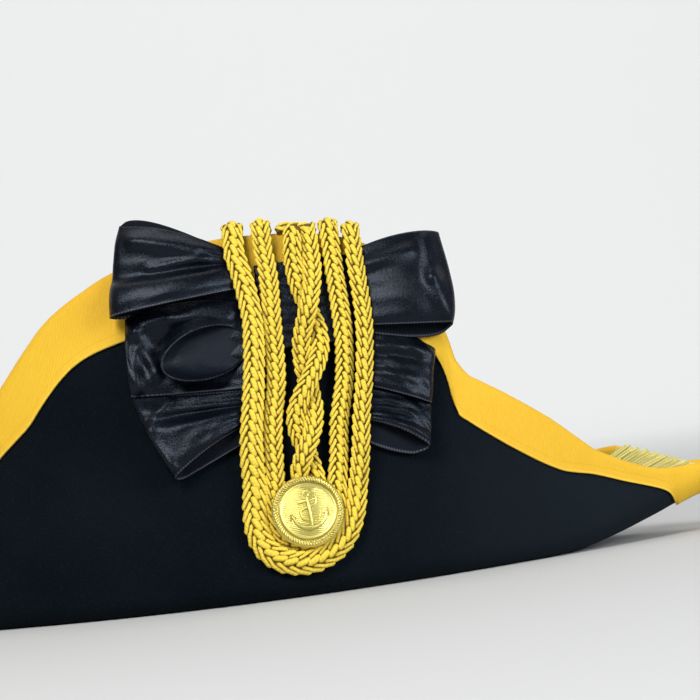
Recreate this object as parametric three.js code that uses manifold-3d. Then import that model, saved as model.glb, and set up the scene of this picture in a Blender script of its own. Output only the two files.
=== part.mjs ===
// Bicorne hat, worn fore and aft, in millimetres.
// +X runs to the front point, +Z up, and the cockade is on the -Y side. The hat rests on its flat underside.

import * as THREE from 'three';
import { mergeVertices } from 'three/addons/utils/BufferGeometryUtils.js';
import Module from 'manifold-3d';

// Driving dimensions of the felt
const HALF_LENGTH = 210;
const FOLD_HALF_WIDTH = 92;
const POINT_HALF_WIDTH = 6;
const PLAN_POWER = 1.6;
const FLAP_LEAN = 33;
const CREST_HEIGHT = 143;
const FELT = 2.5;
const FOLD_RADIUS = 9;
const FOLD_SHARE = 0.6;

// Crown: outer half axes of the head oval, and height
const CROWN_HALF_LENGTH = 101.5;
const CROWN_HALF_WIDTH = 81.5;
const CROWN_HEIGHT = 112;
const CROWN_POWER = 2.5;
const CROWN_STEPS = 7;
const ROUND_STEPS = 28;

// Clearance between neighbouring pieces, and the ribbon that binds the edge
const GAP = 0.3;
const BINDING = 1.2;
const PROUD = GAP + BINDING;
const SEAT = PROUD + 2 * GAP;

// Braided cord: an oval section
const CORD_WIDTH = 8.4;
const CORD_THICK = 4.6;
const STRAND_WIDTH = 8.2;
const CORD_SEGMENTS = 4;

// Satin ribbon of the cockade, its gathers and the strip that they are sewn to
const SATIN = 1.0;
const GATHER_THICK = 1.8;

// Button
const BUTTON_RADIUS = 14.25;
const BUTTON_X = 20.4;
const BUTTON_Z = 33;
const BUTTON_BACK = 5.8;
const BUTTON_STEPS = 16;
const DOME_RISE = 4.4;

// Turned profile of the button, from its back over the rim and the ring to the top of its dome
const BUTTON_PROFILE = [
  { r: 0, h: 0.6 }, { r: 11.5, h: 0 }, { r: 13.65, h: 0 }, { r: BUTTON_RADIUS, h: 0.7 },
  { r: BUTTON_RADIUS, h: 1.6 }, { r: 13.35, h: 2.3 }, { r: 12.45, h: 2 }, { r: 11.85, h: 2.5 },
  { r: 9.5, h: 3.3 }, { r: 6, h: 4 }, { r: 3, h: 4.3 }, { r: 0, h: DOME_RISE },
];

// Shank behind the button
const SHANK = { radius: 2, length: 6, steps: 10, middle: -2 };

// Anchor in relief: widths, lengths and heights above the middle of the button
const RELIEF = 1.5;
const STEM = { width: 1.3, length: 10 };
const STOCK = { width: 7, thick: 1.1, up: 3.6 };
const RING = { radius: 1.4, wire: 0.45, up: 6, round: 5, along: 8 };
const ARMS = { outer: 6.2, inner: 4.9, inset: 0.6, up: 1, reach: 0.36 * Math.PI, steps: 6 };
const FLUKE = { half: 1.7, length: 2.6, out: 5.6, down: 1.6, turn: 0.5 };

// Side view of the flaps: height of the top edge of the near flap along the hat
const TOP_EDGE = [
  { x: -210, z: 26.5 }, { x: -198, z: 27.5 }, { x: -184, z: 31 }, { x: -165, z: 39 },
  { x: -145, z: 51 }, { x: -125, z: 68 }, { x: -108, z: 86.5 }, { x: -96.7, z: 99.3 },
  { x: -87, z: 110.6 }, { x: -77, z: 121 }, { x: -69.5, z: 126.3 }, { x: -61, z: 131 },
  { x: -48, z: 137.1 }, { x: -25, z: 143 }, { x: 2, z: 145.5 }, { x: 23, z: 144.5 },
  { x: 41, z: 141.8 }, { x: 56, z: 136.5 }, { x: 68, z: 128 }, { x: 76, z: 118 },
  { x: 81.5, z: 106 }, { x: 84.5, z: 95.7 }, { x: 86.2, z: 88.2 }, { x: 88.5, z: 82.3 },
  { x: 91.6, z: 77.8 }, { x: 95.8, z: 74.9 }, { x: 104, z: 69.6 }, { x: 114, z: 62.5 },
  { x: 122.6, z: 56 }, { x: 134, z: 45.8 }, { x: 140, z: 40.6 }, { x: 146, z: 37.3 },
  { x: 152.4, z: 34 }, { x: 159, z: 31.2 }, { x: 166, z: 28.9 }, { x: 174, z: 27.9 },
  { x: 190, z: 27.3 }, { x: 210, z: 26.5 },
];

// What the far flap's top edge stands above the near one's, by the front point
const FAR_RISE = [
  { x: -210, z: 0 }, { x: 134, z: 0 }, { x: 151, z: 5.5 }, { x: 163, z: 7.5 }, { x: 180, z: 3.5 },
  { x: 198, z: 0 }, { x: 210, z: 0 },
];

// Lower border of the binding on the faces of the flaps
const BINDING_BORDER = [
  { x: -172.5, z: 14 }, { x: -170, z: 18.5 }, { x: -164, z: 22.5 }, { x: -145, z: 32 },
  { x: -125, z: 44 }, { x: -108, z: 57 }, { x: -96, z: 69.5 }, { x: -86.7, z: 80 },
  { x: -78, z: 90 }, { x: -69.8, z: 98.1 }, { x: -57.4, z: 104.5 }, { x: -44.6, z: 109 },
  { x: -22, z: 115.5 }, { x: 5, z: 119.5 }, { x: 26, z: 118.5 }, { x: 45, z: 114 },
  { x: 62, z: 104.5 }, { x: 74.5, z: 94.1 }, { x: 79, z: 88.5 }, { x: 82.1, z: 81.4 },
  { x: 83.9, z: 74.5 }, { x: 85, z: 66 }, { x: 86.2, z: 61.8 }, { x: 89, z: 59.4 },
  { x: 96.6, z: 53.2 }, { x: 107.9, z: 44.8 }, { x: 119.8, z: 37 }, { x: 126.5, z: 33.6 },
  { x: 138.6, z: 30.5 }, { x: 151, z: 25.9 }, { x: 164.3, z: 21.2 }, { x: 169.6, z: 18.6 },
  { x: 172.5, z: 14 },
];

// Height of the bottom fold, from the front or rear point inwards to the flat underside
const KEEL = [
  { x: 0, z: 0 }, { x: 115, z: 0 }, { x: 127.5, z: 0.9 }, { x: 141, z: 3.6 }, { x: 162.6, z: 9.8 },
  { x: 182.5, z: 16.4 }, { x: 198, z: 20 }, { x: 210, z: 21.5 },
];

// Sections of the brim along its length
const STATIONS = [
  -210, -192, -173, -158, -142, -127, -113, -100, -88, -77, -68, -56, -40, -20, 4, 24, 40, 53, 63,
  71, 77, 81.5, 84.3, 86.2, 88.4, 91.5, 98, 110, 123, 134, 143, 153, 164, 177, 193, 210,
];
const FOLD_SHARES = [0, 0.4, 0.75, 1];

// Cord routes on the near flap: x and z on its face, and the depth of the cord's centre before it
const OUTER_ROUTE = [
  { x: 6.3, z: 137, depth: 6.5 }, { x: 7.4, z: 130, depth: 6.5 }, { x: 8.3, z: 111.3, depth: 6.5 },
  { x: 6.2, z: 89.6, depth: 6.5 }, { x: 2.9, z: 69.5, depth: 6.5 }, { x: 1.7, z: 60, depth: 6.2 },
  { x: 1, z: 45, depth: 3.2 }, { x: -0.3, z: 29, depth: 2.9 }, { x: 1.8, z: 21, depth: 2.9 },
  { x: 8, z: 15.5, depth: 2.9 }, { x: 17.4, z: 13.6, depth: 2.9 }, { x: 26.5, z: 15.5, depth: 2.9 },
  { x: 33.6, z: 20.5, depth: 2.9 }, { x: 38.3, z: 29, depth: 2.9 }, { x: 41.4, z: 41, depth: 3.2 },
  { x: 44.3, z: 56, depth: 6.2 }, { x: 45.8, z: 66.5, depth: 6.5 }, { x: 49.3, z: 84, depth: 6.5 },
  { x: 51.9, z: 105.7, depth: 6.5 }, { x: 51.7, z: 122, depth: 6.5 }, { x: 51.4, z: 130, depth: 6.5 },
];
const INNER_ROUTE = [
  { x: 16.4, z: 138, depth: 4.5 }, { x: 17.2, z: 128, depth: 4.5 }, { x: 16.1, z: 110.3, depth: 4.4 },
  { x: 15.5, z: 97, depth: 3.1 }, { x: 14.5, z: 84, depth: 2.9 }, { x: 11.2, z: 68.4, depth: 2.9 },
  { x: 10.2, z: 56.7, depth: 2.9 }, { x: 10.6, z: 46.8, depth: 2.9 }, { x: 11, z: 37, depth: 2.9 },
  { x: 14, z: 29, depth: 2.9 }, { x: 20.4, z: 25.4, depth: 2.9 }, { x: 27, z: 29, depth: 2.9 },
  { x: 31.2, z: 37, depth: 2.9 }, { x: 33, z: 43.8, depth: 2.9 }, { x: 35.2, z: 53.3, depth: 2.9 },
  { x: 36.7, z: 65, depth: 2.9 }, { x: 41, z: 82, depth: 2.9 }, { x: 42.7, z: 95, depth: 3.2 },
  { x: 43.2, z: 106.6, depth: 4.4 }, { x: 42.8, z: 122, depth: 4.5 }, { x: 42.6, z: 134, depth: 4.5 },
];
const TAIL_BEHIND = 20;

// Twisted pair: its middle line, and how far it has turned there; it is widest at whole half turns
const TWIST_ROUTE = [
  { x: 31.2, z: 146, turn: -0.25 }, { x: 30.7, z: 132.5, turn: 0 }, { x: 30.7, z: 112.4, turn: 0.5 },
  { x: 29.8, z: 97.6, turn: 1 }, { x: 26.8, z: 83, turn: 1.5 }, { x: 23.9, z: 69.5, turn: 2 },
  { x: 22.6, z: 56.6, turn: 2.5 }, { x: 22, z: 49.5, turn: 2.75 },
];
const TWIST_SPREAD = 3.9;
const TWIST_LIFT = 4.6;
const TWIST_POINTS = 28;
const CROSS_END = { first: 21.8, last: 36.8 };

// Heights between which the ribbon under the cords begins
const RIBBON_BEGINS = { low: 103, high: 116 };

// Steps along each cord
const CORD_STEPS = { outer: 50, inner: 44, twist: 17, cross: 4 };

// Ribbon loops: x and z where each leaves the gathers, its length, slope and skew in degrees, its
// width at the gathers and at the end, and how deep it puffs out
const REAR_LOOPS = [
  { x: 2.2, z: 131, length: 51, slope: -4, skew: 4, narrow: 22, wide: 38, puff: 19 },
  { x: 2, z: 101, length: 46, slope: -3, skew: 3, narrow: 18, wide: 36, puff: 15 },
  { x: -1.6, z: 77, length: 38, slope: 12, skew: 22, narrow: 18, wide: 38, puff: 18 },
];
const FRONT_LOOPS = [
  { x: 56.8, z: 120, length: 33, slope: -2, skew: -3, narrow: 26, wide: 38, puff: 18 },
  { x: 58.6, z: 90, length: 18, slope: 12, skew: 4, narrow: 22, wide: 34, puff: 14 },
  { x: 54.2, z: 68, length: 16, slope: 14, skew: 8, narrow: 16, wide: 30, puff: 13 },
];
const LOOP_STEPS = 10;
const LOOP_RIBS = 5;
const LOOP_OPENING = 0.12;
const LOOP_POINTED = 1.5;
const LOOP_CUPPED = 0.25;
const PLEAT_DEPTH = 1.3;

// Strip of gathers: its steps, what it reaches below the lowest row it follows, and its two sides
const GATHER_STEPS = 6;
const GATHER_UNDER = 0.3 * CORD_WIDTH;
const GATHER_BEYOND = 1.1 * CORD_WIDTH;
const REAR_GATHERS = { low: 64, high: 134 };
const FRONT_GATHERS = { low: 60, high: 128 };

// Bullion tassels: where the locks leave the head and where they end
const LOCKS = 5;
const LOCK_ROWS = 3;
const LOCK_PITCH = 4.4;
const LOCK_GATHERED = 0.9;
const LOCK_FAN = 1.9;
const LOCK_RADIUS = 1.7;
const LOCK_TIP_RADIUS = 2.1;
const LOCK_SIDES = 5;
const LOCK_BASE_FIRST = { x: 126, z: 10 };
const LOCK_BASE_LAST = { x: 146, z: 11 };
const LOCK_TIP_FIRST = { x: 156.5, z: 40 };
const LOCK_TIP_LAST = { x: 184, z: 28.5 };

// Head of a tassel: half its width along the hat, its height and the slant of its upper corners
const TASSEL_HEAD = [
  { x: 118, half: 7 }, { x: 124, half: 10 }, { x: 132, half: 10 }, { x: 142, half: 10 },
  { x: 150, half: 7 },
];
const HEAD_SIDE = 8;
const HEAD_TOP = 11;
const HEAD_SLANT = 3;

const wasm = await Module();
wasm.setup();

// Smooth curve through the rows of a table that never overshoots them (monotone cubic)
function curveThrough(rows, from, to) {
  const n = rows.length;
  const xs = rows.map((row) => row[from]);
  const ys = rows.map((row) => row[to]);
  const slopes = [];
  for (let i = 0; i < n - 1; i += 1) {
    slopes.push((ys[i + 1] - ys[i]) / (xs[i + 1] - xs[i]));
  }
  const tangents = xs.map((_, i) => {
    const before = slopes[Math.max(i - 1, 0)];
    const after = slopes[Math.min(i, n - 2)];
    return before * after <= 0 ? 0 : (2 * before * after) / (before + after);
  });
  return (x) => {
    let i = 0;
    while (i < n - 2 && x > xs[i + 1]) {
      i += 1;
    }
    const step = xs[i + 1] - xs[i];
    const t = THREE.MathUtils.clamp((x - xs[i]) / step, 0, 1);
    const t2 = t * t;
    const t3 = t2 * t;
    return (2 * t3 - 3 * t2 + 1) * ys[i] + (t3 - 2 * t2 + t) * step * tangents[i]
      + (3 * t2 - 2 * t3) * ys[i + 1] + (t3 - t2) * step * tangents[i + 1];
  };
}

const nearTop = curveThrough(TOP_EDGE, 'x', 'z');
const farRise = curveThrough(FAR_RISE, 'x', 'z');
const keelCurve = curveThrough(KEEL, 'x', 'z');

const keel = (x) => keelCurve(Math.abs(x));

// Half width of the hat at the bottom fold, a lens drawn out to a blunt point at both ends
function foldHalfWidth(x) {
  const share = Math.max(1 - (x / HALF_LENGTH) ** 2, 0);
  return POINT_HALF_WIDTH + (FOLD_HALF_WIDTH - POINT_HALF_WIDTH) * share ** PLAN_POWER;
}

// Distance of a flap's outer face from the middle plane: it leans inwards with height
function flapFace(x, z) {
  const half = foldHalfWidth(x);
  return half - FLAP_LEAN * (half / FOLD_HALF_WIDTH) * (z / CREST_HEIGHT);
}

// A place on the near flap, a given depth before its outer face
function onFlap(x, z, depth) {
  return new THREE.Vector3(x, -(flapFace(x, z) + depth), z);
}

// One closed body from a three.js geometry: shared vertices, faces turned outwards
function closedBody(geometry) {
  const bare = geometry.index ? geometry.toNonIndexed() : geometry.clone();
  bare.deleteAttribute('normal');
  bare.deleteAttribute('uv');
  const merged = mergeVertices(bare, 1e-4);
  const position = merged.attributes.position;
  const index = merged.index.array;
  const corners = [0, 1, 2].map(() => new THREE.Vector3());
  const kept = [];
  let volume = 0;
  for (let i = 0; i < index.length; i += 3) {
    const [a, b, c] = [index[i], index[i + 1], index[i + 2]];
    if (a !== b && b !== c && c !== a) {
      kept.push([a, b, c]);
      corners.forEach((corner, k) => corner.fromBufferAttribute(position, [a, b, c][k]));
      volume += corners[0].dot(corners[1].clone().cross(corners[2]));
    }
  }
  const order = volume > 0 ? (t) => t : (t) => [t[0], t[2], t[1]];
  merged.setIndex(kept.map(order).flat());
  return merged;
}

function toSolid(geometry) {
  const body = closedBody(geometry);
  return new wasm.Manifold(new wasm.Mesh({
    numProp: 3,
    vertProperties: new Float32Array(body.attributes.position.array),
    triVerts: new Uint32Array(body.index.array),
  }));
}

function toGeometry(solid) {
  const mesh = solid.getMesh();
  const geometry = new THREE.BufferGeometry();
  geometry.setAttribute('position', new THREE.BufferAttribute(new Float32Array(mesh.vertProperties), 3));
  geometry.setIndex(Array.from(mesh.triVerts));
  return geometry;
}

const fuse = (geometries) => toGeometry(geometries.map(toSolid).reduce((all, one) => all.add(one)));

// Skin over a row of closed rings of an even number of points. Each ring goes along the outer side of
// a wall and back along its inner side, so that the caps at both ends are ladders between the two.
function skin(rings) {
  const count = rings[0].length;
  const positions = rings.flat().flatMap((p) => [p.x, p.y, p.z]);
  const index = [];
  for (let i = 0; i < rings.length - 1; i += 1) {
    for (let j = 0; j < count; j += 1) {
      const a = i * count + j;
      const b = i * count + ((j + 1) % count);
      index.push(a, b, b + count, a, b + count, a + count);
    }
  }
  const end = (rings.length - 1) * count;
  for (let j = 0; j < count / 2 - 1; j += 1) {
    const opposite = count - 1 - j;
    index.push(j + 1, j, opposite, j + 1, opposite, opposite - 1);
    index.push(end + j, end + j + 1, end + opposite - 1, end + j, end + opposite - 1, end + opposite);
  }
  const geometry = new THREE.BufferGeometry();
  geometry.setAttribute('position', new THREE.Float32BufferAttribute(positions, 3));
  geometry.setIndex(index);
  return geometry;
}

// Section of the turned-up brim across the hat: a wall in the shape of a U, grown on all sides
function brimSection(x, grow) {
  const bottom = keel(x);
  const half = foldHalfWidth(x);
  const radius = Math.min(FOLD_RADIUS, FOLD_SHARE * half);
  const quarter = Math.PI / 2;
  const side = (sign, edge) => {
    const top = edge(x);
    const slope = edge(x + 0.5) - edge(x - 0.5);
    const up = grow / Math.hypot(1, slope);
    const outer = [[flapFace(x, top) + grow, top + up, -slope * up]];
    const inner = [[flapFace(x, top) - FELT - grow, top + up, -slope * up]];
    for (const share of FOLD_SHARES) {
      const down = Math.sin(share * quarter);
      const inset = 1 - Math.cos(share * quarter);
      const zOut = bottom + radius - (radius + grow) * down;
      const zIn = bottom + radius - (radius - FELT - grow) * down;
      outer.push([flapFace(x, zOut) + grow - (radius + grow) * inset, zOut, 0]);
      inner.push([flapFace(x, zIn) - FELT - grow - (radius - FELT - grow) * inset, zIn, 0]);
    }
    const place = ([y, z, dx]) => new THREE.Vector3(x + dx, sign * y, z);
    return [outer.map(place), inner.map(place)];
  };
  const [farOuter, farInner] = side(1, (at) => nearTop(at) + farRise(at));
  const [nearOuter, nearInner] = side(-1, nearTop);
  return [...farOuter, ...nearOuter.reverse(), ...nearInner, ...farInner.reverse()];
}

// The brim swept through its sections, grown on all sides and at both points
function brimBody(grow) {
  const rings = STATIONS.map((x) => {
    const end = Math.abs(x) === HALF_LENGTH ? Math.sign(x) * grow : 0;
    return brimSection(x, grow).map((point) => point.setX(point.x + end));
  });
  return skin(rings);
}

// Upright oval block through the head opening
function headOval() {
  const shape = new THREE.Shape();
  shape.absellipse(0, 0, CROWN_HALF_LENGTH + GAP, CROWN_HALF_WIDTH + GAP, 0, Math.PI * 2);
  const depth = 4 * FOLD_RADIUS;
  const block = new THREE.ExtrudeGeometry(shape, { depth, bevelEnabled: false, curveSegments: ROUND_STEPS });
  return block.translate(0, 0, -depth / 2);
}

function brim() {
  return toGeometry(toSolid(brimBody(0)).subtract(toSolid(headOval())));
}

// Half of a superellipse turned round the upright axis, hollow and open below, then narrowed to the oval
function crown() {
  const profile = [];
  const arc = (radius, height, reversed) => {
    for (let i = 0; i <= CROWN_STEPS; i += 1) {
      const angle = (Math.PI / 2) * ((reversed ? CROWN_STEPS - i : i) / CROWN_STEPS);
      profile.push(new THREE.Vector2(
        radius * Math.cos(angle) ** (2 / CROWN_POWER),
        height * Math.sin(angle) ** (2 / CROWN_POWER),
      ));
    }
  };
  arc(CROWN_HALF_LENGTH - FELT, CROWN_HEIGHT - FELT, true);
  arc(CROWN_HALF_LENGTH, CROWN_HEIGHT, false);
  profile[0].x = 0;
  profile[profile.length - 1].x = 0;
  const dome = new THREE.LatheGeometry(profile, ROUND_STEPS);
  dome.rotateX(Math.PI / 2);
  return dome.scale(1, CROWN_HALF_WIDTH / CROWN_HALF_LENGTH, 1);
}

// Side view of everything that the ribbon covers, as a slab across the hat
function bindingReach() {
  const shape = new THREE.Shape();
  const end = HALF_LENGTH + 10;
  const below = -10;
  const above = CREST_HEIGHT + 20;
  const first = BINDING_BORDER[0].x;
  const last = BINDING_BORDER[BINDING_BORDER.length - 1].x;
  shape.moveTo(-end, below);
  shape.lineTo(first - GAP, below);
  BINDING_BORDER.forEach((row) => shape.lineTo(row.x, row.z));
  shape.lineTo(last + GAP, below);
  shape.lineTo(end, below);
  shape.lineTo(end, above);
  shape.lineTo(-end, above);
  const width = 4 * FOLD_HALF_WIDTH;
  const slab = new THREE.ExtrudeGeometry(shape, { depth: width, bevelEnabled: false });
  return slab.rotateX(Math.PI / 2).translate(0, width / 2, 0);
}

// Ribbon folded over the whole edge of the brim, round both points
function binding() {
  const covered = toSolid(brimBody(PROUD)).intersect(toSolid(bindingReach()));
  return toGeometry(covered.subtract(toSolid(brimBody(GAP))));
}

// Smooth path whose section keeps its flat side towards the flap
class CordPath extends THREE.CatmullRomCurve3 {
  constructor(points, outwards) {
    super(points, false, 'centripetal');
    this.outwards = outwards;
  }

  computeFrenetFrames(segments) {
    const frames = { tangents: [], normals: [], binormals: [] };
    for (let i = 0; i <= segments; i += 1) {
      const u = i / segments;
      const tangent = this.getTangentAt(u).normalize();
      const out = this.outwards(this.getPointAt(u)).clone();
      out.addScaledVector(tangent, -out.dot(tangent)).normalize();
      frames.tangents.push(tangent);
      frames.normals.push(new THREE.Vector3().crossVectors(out, tangent));
      frames.binormals.push(out);
    }
    return frames;
  }
}

// Oval tube along a path
function cordAlong(path, width, steps) {
  const section = new THREE.Shape();
  section.absellipse(0, 0, width / 2, CORD_THICK / 2, 0, Math.PI * 2);
  return new THREE.ExtrudeGeometry(section, {
    steps,
    curveSegments: CORD_SEGMENTS,
    extrudePath: path,
    bevelEnabled: false,
  });
}

// The way that a cord takes over the top edge and a little down behind it
function overTheEdge(x) {
  const top = Math.max(nearTop(x - CORD_WIDTH / 2), nearTop(x + CORD_WIDTH / 2));
  const clear = SEAT + 1.5 * GAP + CORD_THICK / 2;
  return [
    onFlap(x, top - 1, clear),
    onFlap(x, top + 0.8 * clear, 0.9 * clear),
    onFlap(x, top + clear, -FELT / 2),
    onFlap(x, top + 0.8 * clear, -FELT - 0.9 * clear),
    onFlap(x, top - 1, -FELT - clear),
    onFlap(x, top - TAIL_BEHIND, -FELT - clear),
  ];
}

// A cord's flat side faces the flap on both faces, and turns over its top edge
function awayFromEdge(point) {
  const rim = onFlap(point.x, Math.min(point.z, nearTop(point.x) - 2), -FELT / 2);
  const out = point.clone().sub(rim);
  const planSlope = foldHalfWidth(point.x + 0.5) - foldHalfWidth(point.x - 0.5);
  return out.setX(planSlope * out.y);
}

function loopedCord(route, steps) {
  const face = route.map((row) => onFlap(row.x, row.z, row.depth));
  const first = route[0].x;
  const last = route[route.length - 1].x;
  const points = [...overTheEdge(first).reverse(), ...face, ...overTheEdge(last)];
  return cordAlong(new CordPath(points, awayFromEdge), CORD_WIDTH, steps);
}

// Two strands round one middle line: they lie side by side where wide, and one crosses over where narrow
function twistedPair() {
  const middle = curveThrough([...TWIST_ROUTE].reverse(), 'z', 'x');
  const turned = curveThrough([...TWIST_ROUTE].reverse(), 'z', 'turn');
  const top = TWIST_ROUTE[0].z;
  const bottom = TWIST_ROUTE[TWIST_ROUTE.length - 1].z;
  const strand = (phase) => {
    const route = [];
    for (let i = 0; i <= TWIST_POINTS; i += 1) {
      const z = top + (bottom - top) * (i / TWIST_POINTS);
      const angle = Math.PI * (turned(z) + phase);
      const over = (0.5 + 0.5 * Math.sin(angle)) ** 2;
      const ribbon = PROUD * THREE.MathUtils.smoothstep(z, RIBBON_BEGINS.low, RIBBON_BEGINS.high);
      const depth = CORD_THICK / 2 + 2 * GAP + ribbon + TWIST_LIFT * over;
      route.push(onFlap(middle(z) + TWIST_SPREAD * Math.cos(angle), z, depth));
    }
    const path = new CordPath(route, () => new THREE.Vector3(0, -1, 0));
    return cordAlong(path, STRAND_WIDTH, CORD_STEPS.twist);
  };
  return fuse([strand(0), strand(1)]);
}

// Short end of cord that lies along the top edge
function crossCord() {
  const height = PROUD + 2 * GAP + CORD_THICK / 2;
  const points = [];
  for (let i = 0; i <= CORD_STEPS.cross; i += 1) {
    const x = THREE.MathUtils.lerp(CROSS_END.first, CROSS_END.last, i / CORD_STEPS.cross);
    points.push(onFlap(x, nearTop(x) + height, -FELT / 2));
  }
  const path = new CordPath(points, () => new THREE.Vector3(0, 0, 1));
  return cordAlong(path, STRAND_WIDTH, CORD_STEPS.cross);
}

// One ribbon loop: a teardrop seen from above, pointed at the gathers and round at its end.
// The ribbon narrows and folds into pleats towards the gathers.
function ribbonLoop(loop, forward) {
  const slope = THREE.MathUtils.degToRad(loop.slope);
  const skew = Math.tan(THREE.MathUtils.degToRad(loop.skew));
  const along = (turn) => 0.5 * loop.length * (1 - Math.cos(turn));
  const deep = (turn) => {
    const share = Math.sin(turn / 2) ** LOOP_POINTED;
    return 0.5 * loop.puff * share * (1 - Math.sin(turn));
  };
  const near = 0.01;
  const rings = [];
  for (let i = 0; i <= LOOP_STEPS; i += 1) {
    const turn = THREE.MathUtils.lerp(LOOP_OPENING, 2 * Math.PI - LOOP_OPENING, i / LOOP_STEPS);
    const share = along(turn) / loop.length;
    const width = THREE.MathUtils.lerp(loop.narrow, loop.wide, Math.sqrt(share));
    const ds = along(turn + near) - along(turn - near);
    const dd = deep(turn + near) - deep(turn - near);
    const size = Math.hypot(ds, dd);
    const place = (rib, offset) => {
      const across = (rib / LOOP_RIBS) * 2 - 1;
      const pleat = PLEAT_DEPTH * (rib % 2 === 0 ? -1 : 1) * (1 - share) * Math.sin(turn / 2);
      const full = 1 - LOOP_CUPPED * across ** 2;
      const v = (across * width) / 2;
      const s = along(turn) - (offset * dd) / size + skew * v * share;
      const depth = SEAT + SATIN / 2 + deep(turn) * full + pleat + PLEAT_DEPTH + (offset * ds) / size;
      const x = loop.x + forward * (s * Math.cos(slope) - v * Math.sin(slope));
      const z = loop.z - s * Math.sin(slope) + v * Math.cos(slope);
      return onFlap(x, z, depth);
    };
    const ribs = Array.from({ length: LOOP_RIBS + 1 }, (_, rib) => rib);
    const outer = ribs.map((rib) => place(rib, SATIN / 2));
    const inner = ribs.map((rib) => place(rib, -SATIN / 2)).reverse();
    rings.push([...outer, ...inner]);
  }
  return skin(rings);
}

// Strip of gathers under one leg of the outer cord, from the lowest to the highest loop
function gatherStrip(forward, { low, high }) {
  const leg = OUTER_ROUTE.filter((row) => forward * (row.x - BUTTON_X) > 0 && row.z > low - 2 * CORD_WIDTH);
  const line = curveThrough(leg.sort((a, b) => a.z - b.z), 'z', 'x');
  const front = SEAT + GATHER_THICK;
  const rings = [];
  for (let i = 0; i <= GATHER_STEPS; i += 1) {
    const z = THREE.MathUtils.lerp(low, high, i / GATHER_STEPS);
    const x = line(z);
    const under = x - forward * GATHER_UNDER;
    const beyond = x + forward * GATHER_BEYOND;
    rings.push([
      onFlap(under, z, SEAT), onFlap(under, z, front), onFlap(beyond, z, front), onFlap(beyond, z, SEAT),
    ]);
  }
  return skin(rings);
}

function cockade(loops, forward, reach) {
  return fuse([gatherStrip(forward, reach), ...loops.map((loop) => ribbonLoop(loop, forward))]);
}

// Domed button on a shank, with a rim, a ring and a common anchor in relief; made facing +Z
function button() {
  const profile = BUTTON_PROFILE.map((row) => new THREE.Vector2(row.r, row.h));
  const dome = new THREE.LatheGeometry(profile, BUTTON_STEPS).rotateX(Math.PI / 2);
  const shank = new THREE.CylinderGeometry(SHANK.radius, SHANK.radius, SHANK.length, SHANK.steps);
  shank.rotateX(Math.PI / 2).translate(0, 0, SHANK.middle);
  const stem = new THREE.BoxGeometry(STEM.width, STEM.length, RELIEF).translate(0, 0, DOME_RISE);
  const stock = new THREE.BoxGeometry(STOCK.width, STOCK.thick, RELIEF).translate(0, STOCK.up, DOME_RISE);
  const ring = new THREE.TorusGeometry(RING.radius, RING.wire, RING.round, RING.along);
  ring.translate(0, RING.up, DOME_RISE);
  const floor = DOME_RISE - RELIEF / 2;
  const [from, to] = [-Math.PI / 2 - ARMS.reach, -Math.PI / 2 + ARMS.reach];
  const bow = new THREE.Shape();
  bow.absarc(0, 0, ARMS.outer, from, to, false);
  bow.absarc(0, ARMS.inset, ARMS.inner, to, from, true);
  const relief = { depth: RELIEF, bevelEnabled: false, curveSegments: ARMS.steps };
  const arms = new THREE.ExtrudeGeometry(bow, relief).translate(0, ARMS.up, floor);
  const flukes = [-1, 1].map((side) => {
    const barb = new THREE.Shape([
      new THREE.Vector2(-FLUKE.half, 0), new THREE.Vector2(FLUKE.half, 0), new THREE.Vector2(0, FLUKE.length),
    ]);
    const solid = new THREE.ExtrudeGeometry(barb, relief).rotateZ(-side * FLUKE.turn);
    return solid.translate(side * FLUKE.out, -FLUKE.down, floor);
  });
  return fuse([dome, shank, stem, stock, ring, arms, ...flukes]);
}

// Bullion tassel: rows of straight locks out of a head that sits in the fold of the brim
function bullion() {
  const head = TASSEL_HEAD.map(({ x, half }) => {
    const low = keel(x) + FELT + 2 * GAP;
    const flat = half - HEAD_SLANT;
    return [
      [-half, low], [half, low], [half, low + HEAD_SIDE], [flat, low + HEAD_TOP], [-flat, low + HEAD_TOP],
      [-half, low + HEAD_SIDE],
    ].map(([y, z]) => new THREE.Vector3(x, y, z));
  });
  const pieces = [skin(head)];
  for (let row = 0; row < LOCK_ROWS; row += 1) {
    for (let i = 0; i < LOCKS; i += 1) {
      const share = (i + (row % 2) * 0.5) / (LOCKS - 0.5);
      const y = (row - (LOCK_ROWS - 1) / 2) * LOCK_PITCH;
      const base = new THREE.Vector3(
        THREE.MathUtils.lerp(LOCK_BASE_FIRST.x, LOCK_BASE_LAST.x, share),
        y * LOCK_GATHERED,
        THREE.MathUtils.lerp(LOCK_BASE_FIRST.z, LOCK_BASE_LAST.z, share),
      );
      const tip = new THREE.Vector3(
        THREE.MathUtils.lerp(LOCK_TIP_FIRST.x, LOCK_TIP_LAST.x, share),
        y * THREE.MathUtils.lerp(LOCK_FAN, 1, share),
        THREE.MathUtils.lerp(LOCK_TIP_FIRST.z, LOCK_TIP_LAST.z, share),
      );
      const length = base.distanceTo(tip);
      const lock = new THREE.CylinderGeometry(LOCK_TIP_RADIUS, LOCK_RADIUS, length, LOCK_SIDES);
      const reach = tip.clone().sub(base).normalize();
      lock.translate(0, length / 2, 0);
      lock.applyQuaternion(new THREE.Quaternion().setFromUnitVectors(new THREE.Vector3(0, 1, 0), reach));
      pieces.push(lock.translate(base.x, base.y, base.z));
    }
  }
  return fuse(pieces);
}

const FINISH = {
  felt: { color: '#10151c', roughness: 0.95, metalness: 0 },
  ribbon: { color: '#f0c337', roughness: 0.7, metalness: 0 },
  satin: { color: '#1e212d', roughness: 0.35, metalness: 0 },
  braid: { color: '#e6c33c', roughness: 0.6, metalness: 0 },
  gilt: { color: '#dccd68', roughness: 0.3, metalness: 0.9 },
  bullion: { color: '#c8be5a', roughness: 0.5, metalness: 0.5 },
};

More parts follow.
